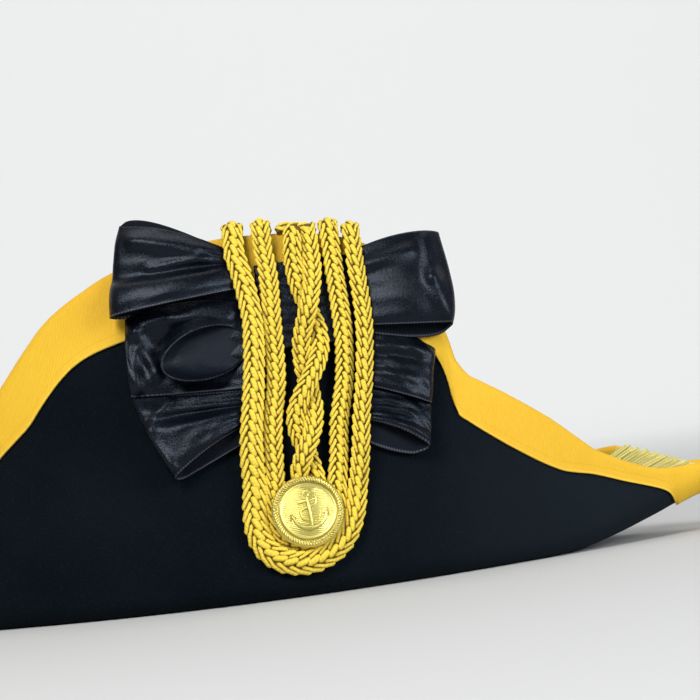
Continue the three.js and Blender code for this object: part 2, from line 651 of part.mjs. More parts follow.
const hat = new THREE.Group();

function addPiece(name, geometry, finish) {
  const mesh = new THREE.Mesh(closedBody(geometry), new THREE.MeshStandardMaterial(FINISH[finish]));
  mesh.name = name;
  hat.add(mesh);
  return mesh;
}

addPiece('crown', crown(), 'felt');
addPiece('brim', brim(), 'felt');
addPiece('binding', binding(), 'ribbon');
addPiece('ribbon_rear', cockade(REAR_LOOPS, -1, REAR_GATHERS), 'satin');
addPiece('ribbon_front', cockade(FRONT_LOOPS, 1, FRONT_GATHERS), 'satin');
addPiece('cord_outer', loopedCord(OUTER_ROUTE, CORD_STEPS.outer), 'braid');
addPiece('cord_inner', loopedCord(INNER_ROUTE, CORD_STEPS.inner), 'braid');
addPiece('cord_twist', twistedPair(), 'braid');
addPiece('cord_cross', crossCord(), 'braid');

// The button's back lies along the flap
const badge = addPiece('button', button(), 'gilt');
const seat = onFlap(BUTTON_X, BUTTON_Z, BUTTON_BACK);
const forwards = onFlap(BUTTON_X + 1, BUTTON_Z, BUTTON_BACK).sub(seat).normalize();
const facing = onFlap(BUTTON_X, BUTTON_Z + 1, BUTTON_BACK).sub(seat).cross(forwards).negate().normalize();
badge.setRotationFromMatrix(
  new THREE.Matrix4().makeBasis(forwards, facing.clone().cross(forwards), facing),
);
badge.position.copy(seat);

addPiece('bullion_front', bullion(), 'bullion');
const rearTassel = addPiece('bullion_rear', bullion(), 'bullion');
rearTassel.rotation.z = Math.PI;

// The origin is under the middle of the hat, trimmings included
hat.updateMatrixWorld(true);
const extent = new THREE.Box3().setFromObject(hat, true);
const middle = extent.getCenter(new THREE.Vector3());
hat.position.set(-middle.x, -middle.y, -extent.min.z);

export default hat;
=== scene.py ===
"""Bicorne hat, worn fore and aft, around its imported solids.

Lengths are worked out in millimetres about the hat's middle plane and become metres in to_metres().
+X runs to the front point, +Z up, and the cockade is on the -Y side.
"""

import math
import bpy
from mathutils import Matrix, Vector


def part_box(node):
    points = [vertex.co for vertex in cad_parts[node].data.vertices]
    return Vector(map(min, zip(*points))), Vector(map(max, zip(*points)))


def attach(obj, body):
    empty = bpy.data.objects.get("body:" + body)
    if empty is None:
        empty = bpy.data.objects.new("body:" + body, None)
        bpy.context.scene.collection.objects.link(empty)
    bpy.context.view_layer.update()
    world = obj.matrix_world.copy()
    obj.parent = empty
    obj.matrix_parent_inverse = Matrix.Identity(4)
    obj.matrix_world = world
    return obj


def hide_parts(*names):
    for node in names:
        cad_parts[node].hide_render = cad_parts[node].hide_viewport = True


bl_info = {
    "name": "Bicorne hat",
    "version": (1, 0, 0),
    "blender": (4, 5, 0),
    "location": "View3D > Sidebar > Hat",
    "description": "Felt bicorne hat with bound edges, ribbon cockade, braided cords, button and bullion",
    "category": "Object",
}

import bmesh
import bpy
import numpy as np
from mathutils import Matrix, Vector

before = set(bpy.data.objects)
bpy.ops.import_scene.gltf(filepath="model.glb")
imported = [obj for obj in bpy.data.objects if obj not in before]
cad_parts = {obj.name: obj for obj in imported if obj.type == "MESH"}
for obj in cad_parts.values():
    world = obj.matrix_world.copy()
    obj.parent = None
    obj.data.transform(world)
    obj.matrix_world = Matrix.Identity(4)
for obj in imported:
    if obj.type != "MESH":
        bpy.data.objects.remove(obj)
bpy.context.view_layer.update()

MM = 0.001
CROWN_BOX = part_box("crown")
MIDDLE_Y = 0.5 * (CROWN_BOX[0].y + CROWN_BOX[1].y)
NEAR = -1
FAR = 1

# Driving sizes of the felt, as in the solids
HALF_LENGTH = 210.0
FOLD_HALF_WIDTH = 92.0
POINT_HALF_WIDTH = 6.0
PLAN_POWER = 1.6
FLAP_LEAN = 33.0
CREST_HEIGHT = 143.0
FELT = 2.5
FOLD_RADIUS = 9.0
FOLD_SHARE = 0.6
CROWN_HALF_LENGTH = 101.5
CROWN_HALF_WIDTH = 81.5
CROWN_HEIGHT = 112.0
CROWN_POWER = 2.5
GAP = 0.3
SEAT = 2.1
CORD_THICK = 4.6
HALF_CORD = 4.2

# Where the near edge falls steeply, which takes closer rings
STEEP_EDGE = (70, 96)
OVAL_SIDES = 144
CROWN_SIDES = 120

# Edge ribbon: its outer skin before the felt, its thickness, its length over half of the top edge, and
# where it starts to cover the whole point
BINDING_LIFT = 1.36
BINDING_THICK = 1.05
OVER_EDGE = 4.3
POINT_COVER = (172.2, 174.5)
# Lines along the ribbon: distance from its lower border, half width, height, and where they end
SELVEDGE = (0.9, 0.6, 0.12)
SEAM = (3.7, 0.5, -0.09)
TUCKS = (4.6, 1.6, 0.05)
LINES_END = (173, 176)

# Height of the near flap's top edge along the hat: (x, z)
TOP_EDGE = [
    (-210, 26.5), (-198, 27.5), (-184, 31), (-165, 39), (-145, 51), (-125, 68), (-108, 86.5),
    (-96.7, 99.3), (-87, 110.6), (-77, 121), (-69.5, 126.3), (-61, 131), (-48, 137.1), (-25, 143),
    (2, 145.5), (23, 144.5), (41, 141.8), (56, 136.5), (68, 128), (76, 118), (81.5, 106),
    (84.5, 95.7), (86.2, 88.2), (88.5, 82.3), (91.6, 77.8), (95.8, 74.9), (104, 69.6), (114, 62.5),
    (122.6, 56), (134, 45.8), (140, 40.6), (146, 37.3), (152.4, 34), (159, 31.2), (166, 28.9),
    (174, 27.9), (190, 27.3), (210, 26.5),
]
# What the far flap's top edge stands above the near one's, by the front point: (x, rise)
FAR_RISE = [
    (-210, 0), (140, 0), (144.5, 0.6), (148, 2.6), (151, 4.5), (155, 6.2), (160, 6.4), (166, 4.6),
    (178, 1), (198, 0), (210, 0),
]
# The edges above were measured over the ribbon that binds them, which adds this much to the felt
RIBBON_BUILD = 1.4
# Lower border of the ribbon that binds the edge: (x, z)
BINDING_BORDER = [
    (-172.5, 14), (-170, 18.5), (-164, 22.5), (-145, 34), (-125, 48.5), (-108, 63.3), (-101.2, 69.5),
    (-94.8, 74.7), (-88.5, 79.9), (-83.2, 86.2), (-78, 92), (-72.9, 97), (-66.8, 101.7), (-59.7, 105.2),
    (-51.7, 107.6), (-44.6, 109.3), (-22, 115.5), (5, 119.5), (26, 118.5), (45, 114), (62, 104.5),
    (74.5, 94.1), (79, 88.5), (82.1, 81.4), (83.9, 74.5),
    (85, 66), (86.2, 61.8), (89, 59.4), (96.6, 53.2), (107.9, 44.8), (119.8, 37), (126.5, 33.6),
    (138.6, 30.5), (151, 25.9), (164.3, 21.2), (169.6, 18.6), (172.5, 14),
]
# Height of the bottom fold from the middle outwards: (x, z)
KEEL = [(0, 0), (115, 0), (127.5, 0.9), (141, 3.6), (162.6, 9.8), (182.5, 16.4), (198, 20), (210, 21.5)]

# Routes of the cords on the near flap: (x, z, depth of the cord's middle before the flap's face)
OUTER_ROUTE = [
    (4.1, 137, 6.5), (5.8, 130, 6.5), (8, 111.3, 6.5), (6.2, 89.6, 6.5), (2.9, 69.5, 6.5),
    (1.7, 60, 6.2), (1, 45, 3.2), (-0.1, 30, 2.9), (2.2, 21.5, 2.9), (8.3, 15.8, 2.9), (17.5, 13.7, 2.9),
    (26.6, 15.7, 2.9), (33.5, 20.8, 2.9), (38.2, 29.2, 2.9), (41.2, 41, 3.2), (44.3, 56, 6.2),
    (45.8, 66.5, 6.5), (49.3, 84, 6.5), (51.9, 105.7, 6.5), (51.7, 122, 6.5), (51.4, 130, 6.5),
]
INNER_ROUTE = [
    (15.6, 138, 4.5), (16.4, 128, 4.5), (15.7, 110.3, 4.4), (15.2, 97, 3.1), (14.2, 84, 2.9),
    (10.9, 68.4, 2.9), (9.9, 56.7, 2.9), (9.3, 46.8, 2.9), (8.4, 35, 2.7), (10.6, 24.6, 2.4),
    (18.8, 19.9, 2.4), (28.8, 24.6, 2.4), (32.2, 36, 2.7), (33.4, 43.8, 2.9), (35.2, 53.3, 2.9),
    (36.7, 65, 2.9), (41, 82, 2.9), (42.7, 95, 3.2), (43.2, 106.6, 4.4), (42.8, 122, 4.5),
    (42.6, 134, 4.5),
]
TAIL_BEHIND = 20.0
# Middle line of the twisted pair and how far it has turned there: (z, x, turn)
TWIST_ROUTE = [
    (43, 21.6, 2.98), (49.5, 22, 2.75), (56.6, 22.6, 2.5), (69.5, 23.9, 2), (83, 26.8, 1.5), (97.6, 29.8, 1),
    (112.4, 30.7, 0.5), (132.5, 30.7, 0), (146, 31.2, -0.25),
]
TWIST_SPREAD = 3.7
TWIST_LIFT = 4.6
# Half widths of the other cords, and from where to where the short one lies across the top edge
INNER_WIDTH = 4.5
TWIST_WIDTH = 4.35
CROSS_REACH = (21.8, 36.8)

# Ribbon loops. A row for each fold line of a loop's face, from its lower to its upper edge: place across
# the ribbon, then (x, z, depth) at the gathers, half way and at the outer end. The rows of the layer
# behind are its lower and upper edge. A fold is a rounded ridge from (x, z) to (x, z), with its height and
# half width.
LOOPS = {
    "rear_top": dict(
        face=[
            (0.00, (5, 124, 3.4), (-22, 121.7, 14), (-48, 119.3, 12.6)),
            (0.17, (5, 127.5, 4.2), (-22.6, 126.1, 14.6), (-48.2, 125.2, 13)),
            (0.33, (5, 132.2, 4.2), (-23.3, 131.3, 12.6), (-47.4, 131.3, 10)),
            (0.39, (5, 133.2, 3.6), (-23.5, 132.8, 9.6), (-46.7, 133, 8)),
            (0.60, (5, 134.5, 3.2), (-21, 139, 9), (-45.3, 140.7, 8.2)),
            (0.84, (5, 136.2, 3.8), (-22.7, 147, 9.6), (-43.4, 149.3, 7.8)),
            (1.00, (5, 138, 3), (-19.2, 150.4, 6.2), (-41, 155.2, 5)),
        ],
        back=[((5, 119, 2.6), (-24.8, 118.1, 2.6), (-48.6, 118.3, 2.6)),
              ((5, 137, 2.6), (-25, 154.6, 2.6), (-40.2, 156.2, 2.6))],
        folds=[(-8, 137.5, -30, 136.5, 1.3, 1.8), (-12, 141, -36, 149, 1.2, 2.6)],
        crumple=0.65,
    ),
    "rear_middle": dict(
        face=[
            (0.00, (4, 84, 3), (-22.6, 85, 3.2), (-43.6, 86.4, 4.6)),
            (0.16, (4, 88, 3), (-23.7, 89.1, 3.2), (-44.2, 91, 8.2)),
            (0.30, (4, 93, 3), (-26, 94, 3), (-44.2, 96, 9.4)),
            (0.50, (4, 99, 3), (-30, 101, 3), (-43.9, 103, 8.2)),
            (0.72, (4, 106, 3), (-27.3, 109.5, 3.8), (-43.8, 109.5, 6.6)),
            (0.86, (4, 113, 3.2), (-20.3, 116, 7.4), (-43.3, 114, 5.6)),
            (1.00, (4, 119, 2.8), (-19.9, 121.5, 5), (-43, 117.5, 4)),
        ],
        back=[((4, 82, 2.6), (-22.7, 84.1, 2.6), (-43.4, 86.5, 2.6)),
              ((4, 119, 2.6), (-20, 121, 2.6), (-42.4, 117, 2.6))],
        folds=[(-39, 111.7, -32.3, 95.1, 2.2, 2.6), (-40.1, 105, -40.7, 88.6, 1.4, 2.0),
               (-24, 115, -2, 112, 1.6, 2.4)],
        crumple=0.8,
    ),
    "rear_lower": dict(
        face=[
            (0.00, (2, 70.5, 3.2), (-14.7, 62.8, 7.5), (-30, 52.4, 7.6)),
            (0.10, (2, 71.5, 3.8), (-15.5, 65, 9.2), (-32, 56, 9.6)),
            (0.30, (2, 73.5, 4), (-17.5, 69.5, 9.6), (-35.5, 63, 10)),
            (0.52, (2, 76, 3.6), (-21, 73.8, 9), (-39.3, 71.8, 9.8)),
            (0.60, (2, 77, 3.2), (-21.7, 76, 6.4), (-40.4, 74.6, 8.6)),
            (0.80, (2, 79.5, 3.2), (-22.2, 79.8, 6.6), (-42.2, 80, 8.8)),
            (1.00, (2, 83, 2.8), (-21.8, 84, 4.6), (-43.9, 86, 5)),
        ],
        back=[((1, 63.5, 2.6), (-14.1, 56.9, 2.6), (-27.6, 51, 2.6)),
              ((1, 81, 2.6), (-22, 83, 2.6), (-43, 85, 2.6))],
        folds=[(-29.1, 83.1, -38.8, 71.7, 2.0, 2.6), (-37.6, 68.4, -29, 55.9, 1.3, 2.2)],
        crumple=0.8,
    ),
    "front_top": dict(
        face=[
            (0.00, (51.5, 103, 3.4), (72.2, 101, 10.5), (88.2, 99.7, 10.5)),
            (0.10, (51.7, 105.5, 3.8), (72.6, 103.8, 11.6), (89.6, 102.8, 12)),
            (0.32, (52, 112, 3.8), (73.4, 111.5, 12.8), (90.8, 111, 12)),
            (0.56, (52, 119.5, 3.8), (74.1, 120.1, 11.2), (90.2, 119.4, 8.8)),
            (0.80, (51.5, 127.4, 3.8), (74, 129, 8.8), (88.8, 128.2, 7)),
            (1.00, (50.5, 133.5, 3.2), (71.1, 138, 5.6), (87.2, 136.9, 4.8)),
        ],
        back=[((52, 100, 2.6), (73.2, 95.4, 3.4), (84.6, 96.8, 3.6)),
              ((51, 133, 2.6), (71.2, 137.6, 2.6), (86, 136.4, 2.6))],
        folds=[(81.6, 134.3, 82, 119, 2.2, 3.4), (82, 119, 86.3, 102, 2.2, 3.4),
               (55, 127, 74, 131, 1.5, 3.0)],
        crumple=0.35,
    ),
    "front_middle": dict(
        face=[
            (0.00, (48.8, 79.5, 3.2), (63.9, 73.6, 7.5), (74.6, 68.6, 7.6)),
            (0.12, (49, 81.5, 3.8), (64.3, 76, 8.6), (75.2, 70.6, 8.6)),
            (0.36, (49.6, 85.5, 3.6), (65, 81.5, 8.6), (76.2, 76, 8.8)),
            (0.66, (50.6, 91.6, 3.4), (66, 88.5, 6.6), (77.4, 83, 7.6)),
            (0.85, (51.4, 96, 3.6), (67.3, 93, 7.6), (78.6, 87.2, 7.4)),
            (1.00, (52, 99, 3), (67.8, 95.9, 4.6), (79, 90, 4.8)),
        ],
        back=[((49, 79, 2.6), (64, 74.2, 2.6), (74, 68.6, 2.6)),
              ((52, 99, 2.6), (67.8, 95.4, 2.6), (78.4, 89.4, 2.6))],
    ),
    "front_lower": dict(
        face=[
            (0.00, (46.5, 66, 3.4), (61.2, 60, 7.4), (72.3, 51.4, 6.6)),
            (0.10, (46.6, 67, 3.8), (61.9, 61.9, 9), (72.9, 53.4, 7.8)),
            (0.28, (46.8, 68.5, 3.4), (62.8, 64, 7), (73.4, 56, 7.4)),
            (0.60, (47, 72, 3.4), (63.9, 68, 6.4), (74, 61.5, 7)),
            (1.00, (48, 78, 2.8), (64.5, 74.5, 4), (74.5, 68.5, 4.6)),
        ],
        back=[((45.5, 57.5, 2.6), (57.1, 51.6, 2.6), (66.6, 49.4, 2.6)),
              ((48, 76, 2.6), (64.4, 71.5, 2.6), (73.2, 66, 2.6))],
    ),
}
SATIN = 0.6

# Open end of the rolled ribbon in the rear middle: middle (x, z), half length, half height, tilt
MOUTH = dict(x=-12.2, z=99.7, half_length=17.6, half_height=10.2, tilt=math.radians(12), depth=14.5)

# Middle of the button and how far its back is before the flap's face
BUTTON_X = 20.4
BUTTON_Z = 33.0
BUTTON_BACK = 5.8

# Bullion: (x, z) where the first and the last strand leave the head and where they end, how far apart the
# layers are, how much they spread at the foot and, for both strands, at the tip, and the locks they fall
# into. The head lies along the fold.
STRAND_FOOT = ((126, 10), (146, 11))
STRAND_TIP = ((156.5, 39), (184, 28))
LAYER_STEP = 2.0
FOOT_SPREAD = 0.9
TIP_SPREAD = (1.7, 1.0)
LOCKS = 7
LOCK_NOTCH = 0.7
STRAND_RADIUS = 0.7
HEAD_FROM, HEAD_LENGTH, HEAD_RISE = 117.5, 33.0, 8.6


def cubic_span(t, start, leaving, end, arriving):
    """Hermite cubic from start to end with the slopes at both ends: (2t^3 - 3t^2 + 1) start +
    (t^3 - 2t^2 + t) leaving + (3t^2 - 2t^3) end + (t^3 - t^2) arriving."""
    return (
        (2 * t**3 - 3 * t**2 + 1) * start + (t**3 - 2 * t**2 + t) * leaving
        + (3 * t**2 - 2 * t**3) * end + (t**3 - t**2) * arriving
    )


def curve_through(rows):
    """Monotone cubic through (x, y) rows: Hermite spans whose tangent is the harmonic mean of the slopes
    on both sides, and nought where they differ in sign."""
    xs, ys = np.array(rows, float).T
    slopes = np.diff(ys) / np.diff(xs)
    before = np.concatenate([slopes[:1], slopes])
    after = np.concatenate([slopes, slopes[-1:]])
    alike = before * after > 0
    tangents = np.where(alike, 2 * before * after / np.where(alike, before + after, 1), 0)

    def at(x):
        x = np.asarray(x, float)
        i = np.clip(np.searchsorted(xs, x) - 1, 0, len(xs) - 2)
        step = xs[i + 1] - xs[i]
        t = np.clip((x - xs[i]) / step, 0, 1)
        return cubic_span(t, ys[i], step * tangents[i], ys[i + 1], step * tangents[i + 1])

    return at


bound_top = curve_through(TOP_EDGE)
far_rise = curve_through(FAR_RISE)
keel_curve = curve_through(KEEL)
border_curve = curve_through(BINDING_BORDER)


def near_top(x):
    """Felt's top edge: the bound edge moved in square to its line by what the ribbon adds, and less at
    the points, where the fold leaves no more height."""
    slope = bound_top(x + 0.5) - bound_top(x - 0.5)
    return bound_top(x) - RIBBON_BUILD * np.hypot(1, slope) * (1 - smoothstep(160, 192, np.abs(x)))


def top_edge(x, side):
    """Top edge of the felt on one flap; the far one adds its rise."""
    return near_top(x) + (far_rise(x) if side == FAR else 0)


def fold_half_width(x):
    """Lens in plan: 6 + 86 (1 - (x/210)^2)^1.6."""
    share = np.maximum(1 - (np.asarray(x, float) / HALF_LENGTH) ** 2, 0)
    return POINT_HALF_WIDTH + (FOLD_HALF_WIDTH - POINT_HALF_WIDTH) * share**PLAN_POWER


def flap_face(x, z):
    """Distance of a flap's outer face from the middle plane: it leans inwards in proportion to height."""
    half = fold_half_width(x)
    return half - FLAP_LEAN * (half / FOLD_HALF_WIDTH) * (np.asarray(z, float) / CREST_HEIGHT)


def on_flap(x, z, depth):
    """Places on the near flap, a given depth before its outer face."""
    x, z, depth = np.broadcast_arrays(*(np.asarray(v, float) for v in (x, z, depth)))
    return np.stack([x, -(flap_face(x, z) + depth), z], -1)


def smoothstep(low, high, x):
    """3t^2 - 2t^3, where t is how far x is from low to high."""
    t = np.clip((np.asarray(x, float) - low) / (high - low), 0, 1)
    return t * t * (3 - 2 * t)


def around_circle(sides):
    """Equal angles round a circle, the first one not repeated."""
    return np.linspace(0, 2 * math.pi, sides + 1)[:-1]


def unit(v):
    """Vectors divided by their lengths."""
    return v / np.maximum(np.linalg.norm(v, axis=-1, keepdims=True), 1e-12)


def swell(x, middle, half_width, height):
    """Rounded ridge: height times exp(-((x - middle) / half width)^2)."""
    return height * np.exp(-(((x - middle) / half_width) ** 2))


def to_metres(points):
    """Millimetres about the hat's middle plane to the frame's metres."""
    return np.asarray(points, float).reshape(-1, 3) * MM + np.array([0, MIDDLE_Y, 0])


def grid_faces(rows, columns, close_columns=False):
    """Quads between the neighbours of a grid of points, the last column joined to the first if asked."""
    i, j = np.meshgrid(np.arange(rows - 1), np.arange(columns if close_columns else columns - 1), indexing="ij")
    k = (j + 1) % columns
    quads = np.stack([i * columns + j, i * columns + k, (i + 1) * columns + k, (i + 1) * columns + j], -1)
    return quads.reshape(-1, 4)


def new_piece(name, points, faces, uv=None, tone=None, weld=True):
    """Mesh object from points in millimetres: coincident points are welded, faces turned outwards."""
    mesh = bpy.data.meshes.new(name)
    mesh.from_pydata(to_metres(points), [], [list(face) for face in faces])
    if uv is not None:
        layer = mesh.uv_layers.new(name="cloth")
        corners = np.zeros(len(mesh.loops), np.int32)
        mesh.loops.foreach_get("vertex_index", corners)
        layer.data.foreach_set("uv", np.asarray(uv, float).reshape(-1, 2)[corners].astype(np.float32).ravel())
    if tone is not None:
        values = mesh.attributes.new("tone", "FLOAT", "POINT")
        values.data.foreach_set("value", np.asarray(tone, np.float32).ravel())
    if weld:
        work = bmesh.new()
        work.from_mesh(mesh)
        bmesh.ops.remove_doubles(work, verts=work.verts, dist=2e-6)
        bmesh.ops.recalc_face_normals(work, faces=work.faces)
        work.to_mesh(mesh)
        work.free()
    mesh.polygons.foreach_set("use_smooth", np.full(len(mesh.polygons), True))
    mesh.validate()
    piece = bpy.data.objects.new(name, mesh)
    bpy.context.scene.collection.objects.link(piece)
    return piece


def joined(parts):
    """One set of points, faces, UVs and tones from several (points, faces, uv, tone)."""
    starts = np.cumsum([0] + [len(p[0]) for p in parts[:-1]])
    points = np.concatenate([np.asarray(p[0], float).reshape(-1, 3) for p in parts])
    faces = [[c + start for c in face] for p, start in zip(parts, starts) for face in p[1]]
    uv = np.concatenate([np.asarray(p[2], float).reshape(-1, 2) for p in parts])
    tone = np.concatenate([np.broadcast_to(np.asarray(p[3], float), (len(p[0]),)) for p in parts])
    return points, faces, uv, tone


def apply_modifiers(piece):
    """The evaluated mesh takes the place of the piece's own, and no modifier is left."""
    depsgraph = bpy.context.evaluated_depsgraph_get()
    mesh = bpy.data.meshes.new_from_object(piece.evaluated_get(depsgraph), depsgraph=depsgraph)
    old = piece.data
    piece.modifiers.clear()
    piece.data = mesh
    bpy.data.meshes.remove(old)


def dress(piece, material, node):
    """Gives a piece its material and slot, lets it ride on the hat and stand for its solid."""
    piece.data.materials.clear()
    piece.data.materials.append(material)
    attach(piece, "root")
    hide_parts(node)


def brim_section(x, q, side, grow, inner):
    """One wall of the turned-up brim. q goes 0-1 from the middle of the underside to the fold, 1-2 round
    the fold, 2-3 up the leaning wall, and 3-4 over half of the rounded top edge. grow offsets it outwards."""
    half = fold_half_width(x)
    radius = np.minimum(FOLD_RADIUS, FOLD_SHARE * half)
    bottom = keel_curve(np.abs(x))
    top = top_edge(x, side)
    slope = top_edge(x + 0.5, side) - top_edge(x - 0.5, side)
    steep = np.hypot(1, slope)
    cap = FELT / 2
    x_base, z_base = x + cap * slope / steep, top - cap / steep
    z_fold = bottom + radius

    def face(px, pz):
        return flap_face(px, pz) + (-FELT - grow if inner else grow)

    bend = np.maximum(radius - FELT - grow, 0.05) if inner else radius + grow
    flat, arc, wall, over = (np.clip(q - k, 0, 1) for k in range(4))
    angle = (1 - arc) * math.pi / 2
    z_arc = z_fold - bend * np.sin(angle)
    y_arc = face(x, z_arc) - bend * (1 - np.cos(angle))
    x_wall, z_wall = x + (x_base - x) * wall, z_fold + (z_base - z_fold) * wall
    round_over = over * math.pi / 2
    out = (cap + grow) * np.sin(round_over)
    x_over, z_over = x_base - slope / steep * out, z_base + out / steep
    sign = -1 if inner else 1
    y_over = flap_face(x_over, z_over) - cap + sign * (cap + grow) * np.cos(round_over)
    shape = np.broadcast(x, q)
    places = [q <= 1, q <= 2, q <= 3]
    px = np.select(places, [x + 0 * q, x + 0 * q, x_wall], x_over)
    py = np.select(places, [flat * y_arc, y_arc, face(x_wall, z_wall)], y_over)
    pz = np.select(places, [z_arc, z_arc, z_wall], z_over)
    return np.stack([np.broadcast_to(v, shape.shape) for v in (px, side * py, pz)], -1)


def build_brim(material):
    """Rings of the U-shaped wall carried along the hat, closed at both points, less the head oval."""
    x = np.unique(np.concatenate([
        np.linspace(-HALF_LENGTH, HALF_LENGTH, 169), np.linspace(*STEEP_EDGE, 27),
    ]))[:, None]
    q = np.concatenate([
        [0, 0.5], np.linspace(1, 2, 8)[:-1], np.linspace(2, 3, 17)[:-1], np.linspace(3, 4, 5),
    ])[None, :]
    m = q.shape[1]
    walls = [
        brim_section(x, q, NEAR, 0, False), brim_section(x, q, NEAR, 0, True)[:, ::-1],
        brim_section(x, q, FAR, 0, True), brim_section(x, q, FAR, 0, False)[:, ::-1],
    ]
    rings = np.concatenate(walls, 1)
    faces = grid_faces(len(x), 4 * m, True).tolist()
    for row in (0, (len(x) - 1) * 4 * m):
        for outer, inner in ((row, row + 2 * m - 1), (row + 4 * m - 1, row + 2 * m)):
            step = 1 if outer == row else -1
            k = np.arange(m - 1)
            faces += np.stack([
                outer + step * k, outer + step * (k + 1), inner - step * (k + 1), inner - step * k,
            ], -1).tolist()
    brim = new_piece("felt_brim", rings, faces)
    angle = around_circle(OVAL_SIDES)
    oval = np.stack([(CROWN_HALF_LENGTH + GAP) * np.cos(angle), (CROWN_HALF_WIDTH + GAP) * np.sin(angle)], -1)
    points = np.concatenate([np.column_stack([oval, np.full(OVAL_SIDES, z)]) for z in (-20.0, 20.0)])
    sides = grid_faces(2, OVAL_SIDES, True).tolist()
    caps = [list(range(OVAL_SIDES))[::-1], list(range(OVAL_SIDES, 2 * OVAL_SIDES))]
    cutter = new_piece("cutter", points, sides + caps)
    cut = brim.modifiers.new("head opening", "BOOLEAN")
    cut.operation = "DIFFERENCE"
    cut.solver = "EXACT"
    cut.object = cutter
    apply_modifiers(brim)
    bpy.data.objects.remove(cutter)
    dress(brim, material, "brim")


def build_crown(material):
    """Half superellipse of power 2.5 turned round the upright axis and narrowed to the oval, outer and
    inner skin joined at the rim."""
    t = np.linspace(0, 1, 40) * math.pi / 2
    turn = around_circle(CROWN_SIDES)
    power = 2 / CROWN_POWER
    skins = [
        (CROWN_HALF_LENGTH * np.cos(t) ** power, CROWN_HEIGHT * np.sin(t) ** power),
        ((CROWN_HALF_LENGTH - FELT) * np.cos(t) ** power, (CROWN_HEIGHT - FELT) * np.sin(t) ** power),
    ]
    radius = np.concatenate([skins[1][0][::-1], skins[0][0]])
    height = np.concatenate([skins[1][1][::-1], skins[0][1]])
    radius[0] = radius[-1] = 0
    narrow = CROWN_HALF_WIDTH / CROWN_HALF_LENGTH
    points = np.stack([
        radius[:, None] * np.cos(turn), narrow * radius[:, None] * np.sin(turn),
        np.broadcast_to(height[:, None], (len(height), CROWN_SIDES)),
    ], -1)
    crown = new_piece("felt_crown", points, grid_faces(len(height), CROWN_SIDES, True).tolist())
    dress(crown, material, "crown")


def build_binding(material):
    """Ribbon folded over the edge: from its lower border up the outer face, over the top edge and down
    the inner face, spread evenly along the section. Past the border's ends it covers the whole point."""
    ends = np.linspace(168, 176, 17)
    x = np.unique(np.concatenate([
        np.linspace(-HALF_LENGTH, HALF_LENGTH, 211), np.linspace(*STEEP_EDGE, 40), ends, -ends,
    ]))[:, None]
    m = 26
    t = np.linspace(0, 1, m)[None, :]
    half = fold_half_width(x)
    radius = np.minimum(FOLD_RADIUS, FOLD_SHARE * half)
    z_fold = keel_curve(np.abs(x)) + radius
    border = border_curve(x)
    sides, lengths = [], []
    for side in (NEAR, FAR):
        top = top_edge(x, side)
        z_base = top - FELT / 2
        on_wall = 2 + (border - z_fold) / (z_base - z_fold)
        sunk = np.clip((z_fold - border) / radius, 0, 1)
        q_border = np.where(border > z_fold, on_wall, 2 - np.arcsin(sunk) / (math.pi / 2))
        q_border = q_border * (1 - smoothstep(*POINT_COVER, np.abs(x)))
        spans = np.concatenate([
            half - radius, radius * math.pi / 2, z_base - z_fold, np.full_like(x, OVER_EDGE),
        ], 1)
        start = sum(spans[:, k:k + 1] * np.clip(q_border - k, 0, 1) for k in range(4))
        reach = start + (spans.sum(1, keepdims=True) - start) * t
        before = np.concatenate([np.zeros_like(x), np.cumsum(spans, 1)[:, :3]], 1)
        q = sum(np.clip((reach - before[:, k:k + 1]) / spans[:, k:k + 1], 0, 1) for k in range(4))
        across = reach - start
        bound = 1 - smoothstep(*LINES_END, np.abs(x))
        lines = swell(across, *SELVEDGE) + swell(across, *SEAM) + np.sin(x / 1.9) * swell(across, *TUCKS)
        outer = brim_section(x, q, side, BINDING_LIFT + lines * bound, False)
        inner = brim_section(x, q, side, BINDING_LIFT, True)[:, ::-1]
        sides.append(np.concatenate([outer, inner[:, 1:]], 1))
        lengths.append(np.concatenate([across, 2 * across[:, -1:] - across[:, ::-1][:, 1:]], 1))
    columns = 2 * m - 1
    run = np.concatenate([[0], np.cumsum(np.hypot(np.diff(x[:, 0]), np.diff(near_top(x[:, 0]))))])
    points, faces, uv = [], [], []
    for k, (grid, across) in enumerate(zip(sides, lengths)):
        grid[0, :, 0] -= BINDING_LIFT
        grid[-1, :, 0] += BINDING_LIFT
        points.append(grid.reshape(-1, 3))
        faces += (grid_faces(len(x), columns) + k * len(x) * columns).tolist()
        uv.append(np.stack([np.broadcast_to(run[:, None], across.shape), across], -1).reshape(-1, 2))
        for row in (0, len(x) - 1):
            first = (k * len(x) + row) * columns
            j = np.arange(m - 1)
            last = first + columns - 1
            faces += np.stack([first + j, first + j + 1, last - j - 1, last - j], -1).tolist()
    binding = new_piece("edge_binding", np.concatenate(points), faces, np.concatenate(uv))
    mesh = binding.data
    lowest = min(mesh.polygons, key=lambda p: p.center.y)
    if lowest.normal.y > 0:
        mesh.flip_normals()
    wall = binding.modifiers.new("ribbon", "SOLIDIFY")
    wall.thickness = BINDING_THICK * MM
    wall.offset = -1
    apply_modifiers(binding)
    dress(binding, material, "binding")


